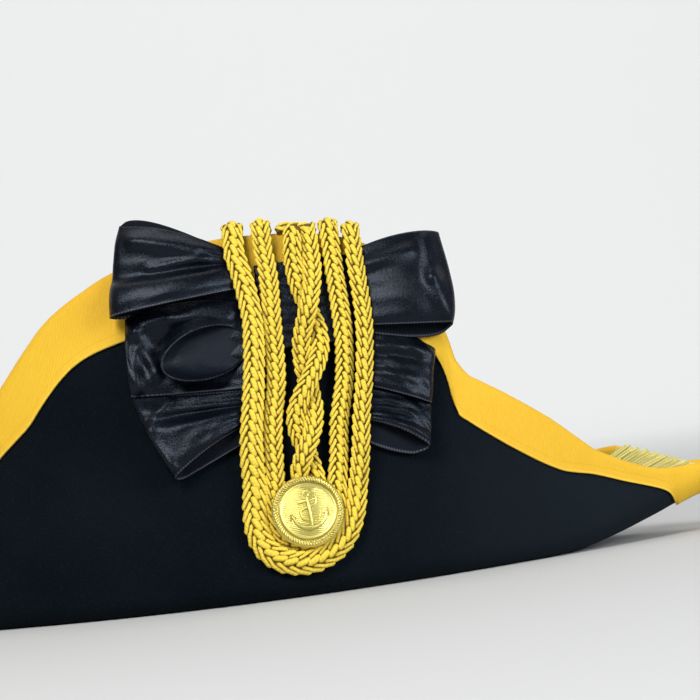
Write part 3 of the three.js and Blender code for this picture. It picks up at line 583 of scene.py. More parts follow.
def catmull_path(controls, per_span=24):
    """Centripetal Catmull-Rom curve through the controls: Hermite spans with knots spaced by the square
    root of the distance between controls, the end controls mirrored outwards."""
    p = np.asarray(controls, float)
    p = np.vstack([2 * p[0] - p[1], p, 2 * p[-1] - p[-2]])
    a, b, c, d = p[:-3], p[1:-2], p[2:-1], p[3:]
    ab, bc, cd = (np.linalg.norm(v, axis=1, keepdims=True) ** 0.5 for v in (b - a, c - b, d - c))
    first = ((b - a) / ab - (c - a) / (ab + bc) + (c - b) / bc) * bc
    last = ((c - b) / bc - (d - b) / (bc + cd) + (d - c) / cd) * bc
    t = np.linspace(0, 1, per_span, endpoint=False)[None, :, None]
    spans = cubic_span(t, b[:, None], first[:, None], c[:, None], last[:, None])
    return np.vstack([spans.reshape(-1, 3), c[-1:]])


def even_path(points, step):
    """The same line cut into equal steps of about the given length."""
    along = np.concatenate([[0], np.cumsum(np.linalg.norm(np.diff(points, axis=0), axis=1))])
    s = np.linspace(0, along[-1], max(2, round(along[-1] / step)) + 1)
    return np.stack([np.interp(s, along, points[:, k]) for k in range(3)], -1), s


def path_frame(points, outwards):
    """Outward and sideways directions along a line; outwards loses its part along the tangent."""
    tangent = unit(np.gradient(points, axis=0))
    out = outwards(points)
    out = unit(out - (out * tangent).sum(1, keepdims=True) * tangent)
    return out, np.cross(out, tangent)


def towards(*direction):
    """The same outward direction all along a line, for path_frame."""
    return lambda points: np.broadcast_to(np.array(direction, float), points.shape).copy()


def tube(points, out, side, half_wide, half_thick, around=12, tone=0.0):
    """Oval profile carried along a line and closed by its end rings, which shrink to a point."""
    angle = around_circle(around)
    wide = np.broadcast_to(np.asarray(half_wide, float), (len(points),))[:, None, None]
    thick = np.broadcast_to(np.asarray(half_thick, float), (len(points),))[:, None, None]
    ring = (
        points[:, None] + side[:, None] * np.cos(angle)[None, :, None] * wide
        + out[:, None] * np.sin(angle)[None, :, None] * thick
    )
    ring = np.concatenate([np.repeat(points[None, :1], around, 1), ring, np.repeat(points[None, -1:], around, 1)])
    along = np.concatenate([[0], np.cumsum(np.linalg.norm(np.diff(points, axis=0), axis=1))])
    along = np.concatenate([along[:1], along, along[-1:]])
    uv = np.stack(np.broadcast_arrays(along[:, None], angle[None, :] / (2 * math.pi)), -1)
    faces = grid_faces(len(ring), around, True).tolist()
    return ring.reshape(-1, 3), faces, uv, tone


STITCH_ROUND = 8
# How far the tone drops on the side of a stitch that faces the core, which the material paints as shade
PAINTED_SHADE_DROP = 2


def capsule(blunt):
    """Where the rings of a capsule of half length 1 lie and how wide they are: round ends of the given
    length and a straight body."""
    bend = np.radians([88, 50, 8])
    end = 1 - blunt + blunt * np.sin(bend)
    place = np.concatenate([-end, [0], end[::-1]])
    return place, np.concatenate([np.cos(bend), [1], np.cos(bend)[::-1]])


def stitches(spine, girth, normal, radius, tone):
    """Many closed yarn stitches at once: a round tube of the given girth along each row of the spine. The
    side of each that faces the core has a negative tone, which the braid's material paints as shade."""
    lead = unit(np.gradient(spine, axis=1))
    across = unit(np.cross(normal, lead))
    rise = np.cross(lead, across)
    angle = around_circle(STITCH_ROUND)
    ring = (
        across[:, :, None] * np.cos(angle)[None, None, :, None]
        + rise[:, :, None] * np.sin(angle)[None, None, :, None]
    ) * (girth[None, :, None, None] * radius[:, None, None, None])
    points = spine[:, :, None] + ring
    rings = len(girth)
    size = rings * STITCH_ROUND
    faces = grid_faces(rings, STITCH_ROUND, True)[None] + (np.arange(len(spine)) * size)[:, None, None]
    steps = np.linalg.norm(np.diff(spine, axis=1), axis=2)
    along = np.concatenate([np.zeros((len(spine), 1)), np.cumsum(steps, axis=1)], 1)
    uv = np.stack(np.broadcast_arrays(along[:, :, None], angle[None, None, :] / (2 * math.pi)), -1)
    sunk = 1 - smoothstep(0.25, 1.0, np.sin(angle))
    tones = np.broadcast_to(tone[:, None, None] - PAINTED_SHADE_DROP * sunk[None, None, :], points.shape[:3])
    return points.reshape(-1, 3), faces.reshape(-1, 4).tolist(), uv, tones.reshape(-1)


# Columns of a braid: place across in half widths at a stitch's start, middle and end along the cord, half
# length, radius, phase, height, and how far its start dips under its neighbour
BRAID_COLUMNS = [
    (-0.28, -0.72, -0.95, 3.7, 1.07, 0.0, 0.0, 0.5),
    (-0.22, 0.08, 0.34, 2.65, 1.28, 0.31, 0.4, 0.0),
    (0.36, 0.76, 0.95, 3.5, 1.05, 0.81, 0.0, 0.5),
]
CORE_RISE = 1.3
# The cord's half width and pitch that the columns are given for, and its core's share of both ways
BRAID_WIDTH = 4.4
BRAID_PITCH = 4.2
CORE_SHARE = (0.74, 0.6)
# Tone of the core, which the material turns into painted shade: dark olive brown in the gaps between stitches
CORE_PAINTED_SHADE = -1.2


def braid(points, outwards, half_wide, pitch, seed):
    """Braided cord: three columns of leaning stitches wrapped round an oval core along a line. Across the
    cord each stitch follows a parabola, so that its outer end runs along the edge. Travelling back along
    the same line turns the braid's arrows over."""
    line, s = even_path(points, 0.8)
    out, side = path_frame(line, outwards)
    wide = np.broadcast_to(np.asarray(half_wide(s) if callable(half_wide) else half_wide, float), s.shape)
    random = np.random.default_rng(seed)
    parts = [tube(line, out, side, wide * CORE_SHARE[0], CORD_THICK / 2 * CORE_SHARE[1], 12, CORE_PAINTED_SHADE)]
    for first, middle, last, length, radius, phase, height, dip in BRAID_COLUMNS:
        u, girth = capsule(radius / length)
        at = np.arange(pitch * (0.5 + phase), s[-1] - pitch * 0.3, pitch)
        at = at + random.uniform(-0.05, 0.05, len(at)) * pitch
        scale = np.interp(at, s, wide)[:, None] / BRAID_WIDTH
        where = at[:, None] + length * np.minimum(scale, 1.08) * pitch / BRAID_PITCH * u

        def along(values):
            return np.stack([np.interp(where, s, values[:, k]) for k in range(3)], -1)

        w, o = unit(along(side)), unit(along(out))
        half = np.interp(where, s, wide) - radius * scale
        bow = random.uniform(-0.05, 0.05, len(at))[:, None]
        p = (first * (u * u - u) + last * (u * u + u)) / 2 + (middle + bow) * (1 - u * u)
        p = np.clip(p, -1, 1)
        rise = CORE_RISE * np.sqrt(1 - 0.9 * p**2) + height * (1 - 0.5 * u**2) - dip * ((1 - u) / 2) ** 2
        spine = along(line) + w * (p * half)[..., None] + o * rise[..., None]
        normal = unit(o * np.sqrt(1 - 0.85 * p**2)[..., None] + w * (0.8 * p)[..., None])
        size = radius * scale[:, 0] * random.uniform(0.96, 1.04, len(at))
        parts.append(stitches(spine, girth, normal, size, random.uniform(0.0, 0.3, len(at))))
    return joined(parts)


def over_the_edge(x):
    """A cord's way over the top edge and a little down behind it."""
    top = float(np.max(near_top(np.array([x - HALF_CORD, x + HALF_CORD]))))
    clear = SEAT + 1.5 * GAP + CORD_THICK / 2
    return [
        on_flap(x, top - 1, clear), on_flap(x, top + 0.8 * clear, 0.9 * clear),
        on_flap(x, top + clear, -FELT / 2), on_flap(x, top + 0.8 * clear, -FELT - 0.9 * clear),
        on_flap(x, top - 1, -FELT - clear), on_flap(x, top - TAIL_BEHIND, -FELT - clear),
    ]


def away_from_edge(points):
    """Directions away from the felt, which turn over its top edge."""
    x, z = points[:, 0], points[:, 2]
    out = points - on_flap(x, np.minimum(z, near_top(x) - 2), -FELT / 2)
    plan_slope = fold_half_width(x + 0.5) - fold_half_width(x - 0.5)
    out[:, 0] = plan_slope * out[:, 1]
    return out


def looped_path(route):
    """A looped cord's line: from behind the edge over it, along its route and back over the edge."""
    face = [on_flap(*row) for row in route]
    points = over_the_edge(route[0][0])[::-1] + face + over_the_edge(route[-1][0])
    return catmull_path(points)


def outer_width(s):
    """Half width of the outer cord: wider on its rear leg, and most of all at the bend."""
    share = s / s[-1]
    return 4.9 - 0.7 * smoothstep(0.5, 0.72, share) + swell(share, 0.43, 0.1, 0.9)


def build_cords(material, sizes):
    """The outer and inner loops, the twisted pair and the short end across the top edge, all braided."""
    outer_line, inner_line = looped_path(OUTER_ROUTE), looped_path(INNER_ROUTE)[::-1]
    outer = new_piece(
        "cord_loop_outer", *braid(outer_line, away_from_edge, outer_width, sizes.outer_stitch / MM, 3))
    dress(outer, material, "cord_outer")
    inner = new_piece(
        "cord_loop_inner", *braid(inner_line, away_from_edge, INNER_WIDTH, sizes.inner_stitch / MM, 5))
    dress(inner, material, "cord_inner")

    middle = curve_through([row[:2] for row in TWIST_ROUTE])
    turned = curve_through([(row[0], row[2]) for row in TWIST_ROUTE])
    z = np.linspace(146, 43, 96)
    strands = []
    for phase in (0, 1):
        angle = math.pi * (turned(z) + phase)
        over = (0.5 + 0.5 * np.sin(angle)) ** 2
        ribbon = 1.5 * smoothstep(103, 116, z)
        depth = CORD_THICK / 2 + 2 * GAP + ribbon + TWIST_LIFT * over - 4.5 * smoothstep(139, 147, z)
        depth = depth - 1.6 * (1 - smoothstep(43, 52, z)) * over
        line = on_flap(middle(z) + TWIST_SPREAD * np.cos(angle), z, depth)
        travelled = line[::-1] if phase == 0 else line
        strands.append(braid(travelled, towards(0, -1, 0), TWIST_WIDTH, sizes.twist_stitch / MM, 7 + phase))
    pair = new_piece("cord_twisted_pair", *joined(strands))
    dress(pair, material, "cord_twist")

    x = np.linspace(*CROSS_REACH, 16)
    line = on_flap(x, near_top(x) + RIBBON_BUILD + CORD_THICK / 3, -0.4)
    end = new_piece("cord_end", *braid(line, towards(0, -0.35, 1), INNER_WIDTH, sizes.cross_stitch / MM, 11))
    dress(end, material, "cord_cross")


def along_rails(rails, share):
    """Each rail is a parabola through its three places, at the gathers, half way and at the outer end."""
    first, middle, last = rails[:, 0], rails[:, 1], rails[:, 2]
    s = share[:, None, None]
    return first * 2 * (s - 0.5) * (s - 1) + middle * 4 * s * (1 - s) + last * 2 * s * (s - 0.5)


def across_rails(places, lines, v):
    """Cubic Hermite spans from rail to rail, with the slopes of neighbouring rails as tangents."""
    i = np.clip(np.searchsorted(places, v) - 1, 0, len(places) - 2)
    step = (places[i + 1] - places[i])[None, :, None]
    t = ((v - places[i]) / (places[i + 1] - places[i]))[None, :, None]
    tangent = np.gradient(lines, places, axis=1)
    return cubic_span(t, lines[:, i], step * tangent[:, i], lines[:, i + 1], step * tangent[:, i + 1])


def ribbon_loop(loop, seed, sizes):
    """One loop of satin ribbon: the layer behind runs out from the gathers, turns over at the outer end
    and comes back as the face, which is lofted over its fold lines. Pleats spread from the gathers, and
    folds are rounded ridges that fall off with the distance from their line."""
    columns, rows = 57, 120
    places = np.array([row[0] for row in loop["face"]], float)
    face_rails = np.array([row[1:] for row in loop["face"]], float)
    back_rails = np.array(loop["back"], float)
    turn = np.linspace(0.05 * math.pi, 1.95 * math.pi, rows)
    share = 0.5 * (1 - np.cos(turn))
    v = np.linspace(0, 1, columns)
    face = across_rails(places, along_rails(face_rails, share), v)
    back = across_rails(np.array([0.0, 1.0]), along_rails(back_rails, share), v)
    front = smoothstep(0.78 * math.pi, 1.2 * math.pi, turn)[:, None, None]
    place = back + (face - back) * front
    s, w = share[:, None], v[None, :]
    random = np.random.default_rng(seed)
    phase = random.uniform(0, 2 * math.pi, 4)
    wave = 0.5 + 0.5 * np.sin(2 * math.pi * sizes.pleats * w + phase[0])
    pleats = sizes.pleat_depth / MM * wave * (1 - s) ** 1.4 * s**0.25
    crumple = (
        0.42 * np.sin(9 * w + 4 * s + phase[1]) * np.sin(8 * s - 3 * w + phase[2])
        + 0.2 * np.sin(23 * w + 9 * s + phase[3]) * np.sin(13 * s + phase[1])
    ) * np.minimum(1, 4 * s * (1.15 - s))
    relief = loop.get("crumple", 1) * (pleats + crumple)
    for x0, z0, x1, z1, height, wide in loop.get("folds", ()):
        run_x, run_z = x1 - x0, z1 - z0
        on_line = ((place[..., 0] - x0) * run_x + (place[..., 1] - z0) * run_z) / (run_x**2 + run_z**2)
        on_line = np.clip(on_line, 0, 1)
        apart = np.hypot(place[..., 0] - x0 - run_x * on_line, place[..., 1] - z0 - run_z * on_line)
        relief = relief + swell(apart, 0, wide, height)
    depth = place[..., 2] + relief * front[..., 0]
    middle = on_flap(place[..., 0], place[..., 1], np.maximum(depth, SEAT + SATIN / 2))
    width = np.linalg.norm(face_rails[-1, 2, :2] - face_rails[0, 2, :2])
    run = np.concatenate([[0], np.cumsum(np.linalg.norm(np.diff(middle[:, columns // 2], axis=0), axis=1))])
    uv = np.stack(np.broadcast_arrays(run[:, None], w * width), -1)
    glossy = float(face_rails[0, 2, 0] < face_rails[0, 0, 0])
    return sheet_shell(middle, uv, SATIN, glossy, 1 - glossy)


def sheet_shell(middle, uv, thick, front, back):
    """Closed thin shell: the middle surface moved half the thickness both ways along its normals, the two
    skins joined round the rim. Front and back are the skins' tones, from 1 for glossy to 0 for matt."""
    rows, columns = middle.shape[:2]
    normal = unit(np.cross(np.gradient(middle, axis=0), np.gradient(middle, axis=1)))
    skins = np.concatenate([(middle + normal * way * thick / 2).reshape(-1, 3) for way in (1, -1)])
    count = rows * columns
    top = grid_faces(rows, columns)
    under = top[:, ::-1] + count
    index = np.arange(count).reshape(rows, columns)
    rim = np.concatenate([index[0, :-1], index[:-1, -1], index[-1, :0:-1], index[:0:-1, 0]])
    following = np.roll(rim, -1)
    rim_faces = np.stack([following, rim, rim + count, following + count], -1)
    faces = np.concatenate([top, under, rim_faces]).tolist()
    flat_uv = np.asarray(uv, float).reshape(-1, 2)
    tones = np.concatenate([np.broadcast_to(tone, (rows, columns)).ravel() for tone in (front, back)])
    return skins, faces, np.concatenate([flat_uv, flat_uv]), tones


def ribbon_mouth():
    """The open end of a rolled ribbon: its outside slopes up to a tilted oval rim, steeply below and
    gently above, and the half-matt inside falls away to a shallow floor. It sinks under the cord."""
    angle = np.linspace(0, 2 * math.pi, 129)[None, :]
    t = np.linspace(0, 1, 40)[:, None]
    above = np.maximum(np.sin(angle), 0)
    outside = 0.93 + 0.72 * above**1.3
    spread = np.where(t < 0.45, outside + (1 - outside) * (t / 0.45) ** 0.8,
                      np.interp(t, [0.45, 0.52, 0.7, 1], [1, 0.97, 0.8, 0.08]))
    height = np.interp(t, [0, 0.12, 0.28, 0.45, 0.5, 0.62, 0.8, 1], [0.1, 0.5, 0.84, 0.99, 1, 0.6, 0.26, 0.2])
    a = MOUTH["half_length"] * spread * np.cos(angle)
    b = MOUTH["half_height"] * spread * np.sin(angle) * (1 + 0.1 * np.cos(angle))
    tilt = MOUTH["tilt"]
    inwards = 15 * np.clip((t - 0.5) / 0.5, 0, 1) ** 1.2
    x = MOUTH["x"] + inwards + a * math.cos(tilt) - b * math.sin(tilt)
    z = MOUTH["z"] + a * math.sin(tilt) + b * math.cos(tilt)
    sunk = 1 - smoothstep(-17, 3, x)
    crest = 3.6 + (MOUTH["depth"] - 3.6) * sunk * (1 - 0.12 * above)
    ripple = 0.3 * np.sin(5 * angle + 3 * t) * sunk * (1 - smoothstep(0.5, 0.85, t))
    middle = on_flap(x, z, 2.6 + (crest - 2.6) * height + ripple)
    uv = np.stack(np.broadcast_arrays(angle * 14, 1.2 + np.abs(t - 0.47) * 40), -1)
    gloss = np.where(t < 0.5, 1.0, 0.5)
    return sheet_shell(middle, uv, SATIN, gloss, gloss)


def gathered_middle(forward):
    """The ribbon's gathers under the inner cord and the twisted pair, from the outer cord's leg to the
    cockade's middle, folded level."""
    z = np.linspace(98, 132.5, 90)[:, None]
    v = np.linspace(0, 1, 20)[None, :]
    leg, middle = (11, 29) if forward < 0 else (48.5, 29.4)
    x = leg + (middle - leg) * v
    depth = SEAT + 0.55 + 0.22 * np.sin(z * 1.35 + 2 * v) * np.cos(0.31 * z + 3 * v)
    uv = np.stack(np.broadcast_arrays(x + 0 * z, 2 + z - 98), -1)
    return sheet_shell(on_flap(x, z, depth), uv, SATIN * 0.7, float(forward > 0), float(forward < 0))


def gather_strip(forward, low, high):
    """Strip of gathered ribbon under one leg of the outer cord, pleated along its length."""
    leg = sorted((z, x) for x, z, _ in OUTER_ROUTE if forward * (x - BUTTON_X) > 0 and z > low - 17)
    line = curve_through(leg)
    z = np.linspace(low, high, 120)[:, None]
    v = np.linspace(-1, 1, 14)[None, :]
    x = line(z) + forward * (0.6 + 2.8 * v)
    depth = SEAT + 0.8 + 0.5 * np.sin(z * 1.6 + 0.8 * v)
    uv = np.stack(np.broadcast_arrays(z, v * 4), -1)
    return sheet_shell(on_flap(x, z, depth), uv, SATIN, float(forward < 0), float(forward > 0))


def build_cockade(material, sizes):
    """The satin loops on both sides of the cords, each side one piece."""
    rear = [gather_strip(-1, 64, 134), gathered_middle(-1), ribbon_mouth()]
    front = [gather_strip(1, 60, 128), gathered_middle(1)]
    sides = (
        ("cockade_rear", rear, "rear", 31, "ribbon_rear", 0.36),
        ("cockade_front", front, "front", 41, "ribbon_front", 0.2),
    )
    for name, parts, where, seed, node, run in sides:
        for i, level in enumerate(("lower", "middle", "top")):
            parts.append(ribbon_loop(LOOPS[f"{where}_{level}"], seed + i, sizes))
        piece = new_piece(name, *joined(parts))
        dress(piece, material, node)


# Button, from its back over the rim, the groove and the ring to the top of its dome: (radius, height)
BUTTON_PROFILE = [
    (0, 0.6), (11.5, 0), (13.4, 0), (14.0, 0.3), (14.25, 0.9), (14.2, 1.6), (13.9, 2.1), (13.3, 2.35),
    (12.5, 2.3), (11.8, 2.1), (11.4, 1.95), (11.15, 2.2), (10.85, 2.55), (10.5, 2.45), (10.2, 2.2),
    (9.6, 2.45), (8.4, 3.0), (6.6, 3.6), (4.6, 4.05), (2.4, 4.32), (0, 4.4),
]


BUTTON_SIDES = 128
# Roped rim: number of beads, distance from the middle, height, half length and radius
BEADS, BEAD_FROM_MIDDLE, BEAD_HEIGHT, BEAD_HALF_LENGTH, BEAD_RADIUS = 76, 12.75, 2.25, 1.15, 0.54
# Shank behind the button: heights of its line and its radius
SHANK, SHANK_RADIUS = (-4.6, -2.5, 0.5), 2.0


def dome_height(r):
    """Height of the button's face at a radius, straight between the profile's inner rows."""
    radii, heights = np.array(BUTTON_PROFILE[:14:-1]).T
    return np.interp(r, radii, heights)


def relief_tube(points, radius, lift=0.0):
    """Round bead along a line on the button's face, half sunk in its dome."""
    line = catmull_path([(x, y, 0.0) for x, y in points], 8)
    line[:, 2] = dome_height(np.hypot(line[:, 0], line[:, 1])) + lift
    out, side = path_frame(line, towards(0, 0, 1))
    girth = np.interp(np.linspace(0, 1, len(line)), np.linspace(0, 1, len(radius)), radius)
    return tube(line, out, side, 1.2 * girth, 1.45 * girth, 8, 1.0)


def build_button(material):
    """Turned dome with a roped rim, a fine ring and a common anchor with its rope in relief, laid on the
    flap by the directions of its face."""
    profile = np.array(BUTTON_PROFILE)
    turn = around_circle(BUTTON_SIDES)
    points = np.stack([
        profile[:, :1] * np.cos(turn), profile[:, :1] * np.sin(turn),
        np.broadcast_to(profile[:, 1:], (len(profile), BUTTON_SIDES)),
    ], -1)
    uv = points[..., :2]
    parts = [(points.reshape(-1, 3), grid_faces(len(profile), BUTTON_SIDES, True).tolist(), uv, 0.5)]
    shank = np.array([[0, 0, z] for z in SHANK], float)
    ones = np.ones((len(SHANK), 1))
    parts.append(tube(shank, ones * [[0, 1, 0]], ones * [[1, 0, 0]], SHANK_RADIUS, SHANK_RADIUS))
    angle = around_circle(BEADS)
    radial = np.stack([np.cos(angle), np.sin(angle), 0 * angle], -1)
    around = np.stack([-np.sin(angle), np.cos(angle), 0 * angle], -1)
    face = np.broadcast_to(np.array([0.0, 0.0, 1.0]), radial.shape)
    lead = unit(radial * 0.86 + around * 0.5)
    u, girth = capsule(0.45)
    bead = radial[:, None] * BEAD_FROM_MIDDLE + face[:, None] * BEAD_HEIGHT
    bead = bead + lead[:, None] * (u * BEAD_HALF_LENGTH)[None, :, None]
    facing = np.broadcast_to(face[:, None], bead.shape)
    parts.append(stitches(bead, girth, facing, np.full(BEADS, BEAD_RADIUS), np.full(BEADS, 1.0)))
    parts += [
        relief_tube([(0.1, 5.2), (0.3, 1), (0.5, -3.6), (0.4, -6.4)], [0.55, 0.7, 0.8, 0.9]),
        relief_tube([(-3.9, 3.1), (0, 3.7), (4.1, 4.2)], [0.4, 0.62, 0.4]),
        relief_tube([(1.5, 6.9), (0.1, 8.1), (-1.3, 6.9), (0.1, 5.6), (1.5, 6.9)], [0.34] * 5),
        relief_tube([(-6.6, -1.5), (-5.2, -4.5), (-2.7, -6.3), (0.4, -6.9), (3.5, -6.1), (5.9, -4.1), (7.1, -1.1)],
                    [0.42, 0.62, 0.8, 0.95, 0.8, 0.62, 0.42]),
        relief_tube([(-7.4, -3.4), (-6.7, -0.9), (-5.2, -2.4)], [0.25, 0.6, 0.25]),
        relief_tube([(7.9, -3.0), (7.2, -0.5), (5.6, -2.0)], [0.25, 0.6, 0.25]),
        relief_tube([(0.6, 6.4), (3.3, 5.6), (3.2, 2.4), (0.3, 1.2), (-3.1, -0.4), (-2.6, -3.2), (0.7, -4.0),
                     (4.1, -3.0), (4.6, -0.6)], [0.36] * 9, 0.1),
    ]
    points, faces, uv, tone = joined(parts)
    seat = on_flap(BUTTON_X, BUTTON_Z, BUTTON_BACK)
    forwards = unit(on_flap(BUTTON_X + 1, BUTTON_Z, BUTTON_BACK) - seat)
    upwards = on_flap(BUTTON_X, BUTTON_Z + 1, BUTTON_BACK) - seat
    facing = unit(-np.cross(upwards, forwards))
    basis = np.stack([forwards, np.cross(facing, forwards), facing])
    button = new_piece("anchor_button", points @ basis + seat, faces, uv, tone)
    dress(button, material, "button")


def build_bullion(material):
    """Rows of round-ended strands that leave a wound head in the fold and lean over the edge, at both
    points; the rear tassel is the front one turned half round."""
    random = np.random.default_rng(21)
    across, layers = 25, 6
    first, last = np.array([STRAND_FOOT, STRAND_TIP], float).transpose(1, 0, 2)
    parts = []
    for layer in range(layers):
        for i in range(across):
            share = (i + 0.5 * (layer % 2)) / (across - 0.5)
            y = (layer - (layers - 1) / 2) * LAYER_STEP
            (foot_x, foot_z), (tip_x, tip_z) = first + share * (last - first)
            base = np.array([foot_x, FOOT_SPREAD * y, foot_z])
            tip = np.array([tip_x, np.interp(share, [0, 1], TIP_SPREAD) * y, tip_z])
            notch = LOCK_NOTCH * np.cos(2 * math.pi * LOCKS * share)
            reach = tip - base
            tip = base + reach * (1 + (notch + random.uniform(-0.5, 0.5)) / np.linalg.norm(reach))
            sag = random.uniform(-0.5, 0.5, 2)
            t = np.linspace(0, 1, 15)[:, None]
            line = base + (tip - base) * t + np.array([sag[0], sag[1], 4.4 - 2.6 * share]) * np.sin(math.pi * t)
            out, side = path_frame(line, towards(0, -1, 0.3))
            girth = STRAND_RADIUS * np.minimum(1, np.sqrt(np.clip((1 - t[:, 0]) * 22, 0.05, 1)))
            parts.append(tube(line, out, side, girth, girth, 7, random.uniform(0, 1)))
    t = np.linspace(0, 1, 24)
    x = HEAD_FROM + HEAD_LENGTH * t
    line = np.stack([x, 0 * t, keel_curve(x) + HEAD_RISE], -1)
    size = np.sqrt(np.maximum(1 - (2 * t - 1) ** 4, 0.02))
    out, side = path_frame(line, towards(0, 0, 1))
    parts.append(tube(line, out, side, 9.6 * size, 5.2 * size, 28, 0.3))
    points, faces, uv, tone = joined(parts)
    front = new_piece("bullion_tassel_front", points, faces, uv, tone)
    dress(front, material, "bullion_front")
    rear = new_piece("bullion_tassel_rear", points * [-1, -1, 1], faces, uv, tone)
    dress(rear, material, "bullion_rear")


class NodeBench:
    """Short ways to add nodes to one tree and to join them."""

    def __init__(self, tree):
        self.tree = tree

    def node(self, kind, values=None, **settings):
        node = self.tree.nodes.new(kind)
        for key, value in settings.items():
            setattr(node, key, value)
        for key, value in (values or {}).items():
            self.feed(node, key, value)
        return node

    def feed(self, node, key, value):
        if isinstance(value, bpy.types.NodeSocket):
            self.tree.links.new(value, node.inputs[key])
        else:
            node.inputs[key].default_value = value

    def maths(self, operation, a, b=0.0):
        return self.node("ShaderNodeMath", {0: a, 1: b}, operation=operation).outputs[0]

    def times(self, a, b):
        return self.maths("MULTIPLY", a, b)

    def plus(self, a, b):
        return self.maths("ADD", a, b)

    def mix(self, factor, a, b):
        node = self.node("ShaderNodeMix", data_type="RGBA")
        self.feed(node, 0, factor)
        self.feed(node, 6, a)
        self.feed(node, 7, b)
        return node.outputs[2]

    def noise(self, vector, scale, detail, rough=0.55):
        values = {"Vector": vector, "Scale": scale, "Detail": detail, "Roughness": rough}
        return self.node("ShaderNodeTexNoise", values).outputs["Fac"]

    def ramp(self, value, low, high, to_low=0.0, to_high=1.0):
        values = {"Value": value, "From Min": low, "From Max": high, "To Min": to_low, "To Max": to_high}
        return self.node("ShaderNodeMapRange", values).outputs["Result"]

    def wave(self, value):
        """Sine of the value, moved to between 0 and 1."""
        return self.ramp(self.maths("SINE", value), -1, 1)

    def band(self, value, middle, near, far, strength):
        """The strength up to near from the middle, falling to nought at far."""
        return self.ramp(self.maths("ABSOLUTE", self.maths("SUBTRACT", value, middle)), near, far, strength, 0)

    def place(self):
        return self.node("ShaderNodeTexCoord").outputs["Object"]

    def cloth(self):
        return self.node("ShaderNodeUVMap", uv_map="cloth").outputs["UV"]

    def tone(self):
        return self.node("ShaderNodeAttribute", attribute_name="tone").outputs["Fac"]

    def part(self, vector, axis):
        return self.node("ShaderNodeSeparateXYZ", {0: vector}).outputs[axis]


def shader_group(name, inputs, outputs, fill):
    """A shader node group with named sockets, filled by fill(bench, inputs) -> outputs in order."""
    tree = bpy.data.node_groups.new(name, "ShaderNodeTree")
    for label, kind, default in inputs:
        socket = tree.interface.new_socket(label, in_out="INPUT", socket_type=kind)
        if default is not None:
            socket.default_value = default
    for label, kind in outputs:
        tree.interface.new_socket(label, in_out="OUTPUT", socket_type=kind)
    bench = NodeBench(tree)
    source = tree.nodes.new("NodeGroupInput")
    target = tree.nodes.new("NodeGroupOutput")
    for socket, value in zip(target.inputs, fill(bench, source.outputs)):
        tree.links.new(value, socket)
    return tree


def fill_fibres(bench, given):
    """Fine fibres: two scales of noise for the height, and a mask of larger, slow clouds."""
    fine = bench.noise(given["Vector"], given["Fine Scale"], 4.0, 0.7)
    coarse = bench.noise(given["Vector"], given["Cloud Scale"], 3.0, 0.5)
    grain = bench.ramp(fine, 0.3, 0.7)
    clouds = bench.ramp(coarse, 0.32, 0.7)
    return [grain, clouds]


def fill_ribs(bench, given):
    """Ribs of woven ribbon: a sine along the ribbon, broken by the weft, and threads across it."""
    parts = bench.node("ShaderNodeSeparateXYZ", {0: given["Vector"]})
    shift = bench.times(bench.noise(given["Vector"], 0.35, 2.0), 1.6)
    along = bench.plus(parts.outputs[0], shift)
    turn = bench.maths("DIVIDE", bench.times(along, 2 * math.pi), given["Pitch"])
    ribs = bench.wave(turn)
    weft = bench.wave(bench.times(parts.outputs[1], 15.0))
    height = bench.plus(bench.times(ribs, 0.8), bench.times(weft, 0.2))
    return [height, ribs]


def fill_twist(bench, given):
    """Plies of twisted thread: a sine that winds round as it goes along."""
    parts = bench.node("ShaderNodeSeparateXYZ", {0: given["Vector"]})
    winds = bench.times(parts.outputs[1], given["Plies"])
    along = bench.maths("DIVIDE", parts.outputs[0], given["Pitch"])
    turn = bench.times(bench.plus(winds, along), 2 * math.pi)
    return [bench.wave(turn)]


def make_groups():
    """The node groups that more than one material uses."""
    vector, number = "NodeSocketVector", "NodeSocketFloat"
    return {
        "fibres": shader_group(
            "Felt fibres", [("Vector", vector, None), ("Fine Scale", number, 1.0), ("Cloud Scale", number, 1.0)],
            [("Grain", number), ("Clouds", number)], fill_fibres),
        "ribs": shader_group(
            "Ribbon ribs", [("Vector", vector, None), ("Pitch", number, 0.8)],
            [("Height", number), ("Ribs", number)], fill_ribs),
        "twist": shader_group(
            "Thread twist", [("Vector", vector, None), ("Pitch", number, 1.0), ("Plies", number, 1.0)],
            [("Height", number)], fill_twist),
    }


def material_bench(name):
    """A new material with its bench and its Principled shader."""
    material = bpy.data.materials.new(name)
    material.use_nodes = True
    bench = NodeBench(material.node_tree)
    shader = material.node_tree.nodes["Principled BSDF"]
    return material, bench, shader


def place_group(bench, group, **values):
    """A node group with its values; an underscore stands for a space."""
    node = bench.node("ShaderNodeGroup", node_tree=group)
    for key, value in values.items():
        bench.feed(node, key.replace("_", " "), value)
    return node.outputs


def bump(bench, shader, height, distance, strength):
    """Height through a Bump node to the shader's Normal."""
    node = bench.node("ShaderNodeBump", {"Height": height, "Distance": distance, "Strength": strength})
    bench.feed(shader, "Normal", node.outputs["Normal"])


def paint(shader, **values):
    """Constants on the shader's sockets; an underscore stands for a space."""
    for key, value in values.items():
        shader.inputs[key.replace("_", " ")].default_value = value


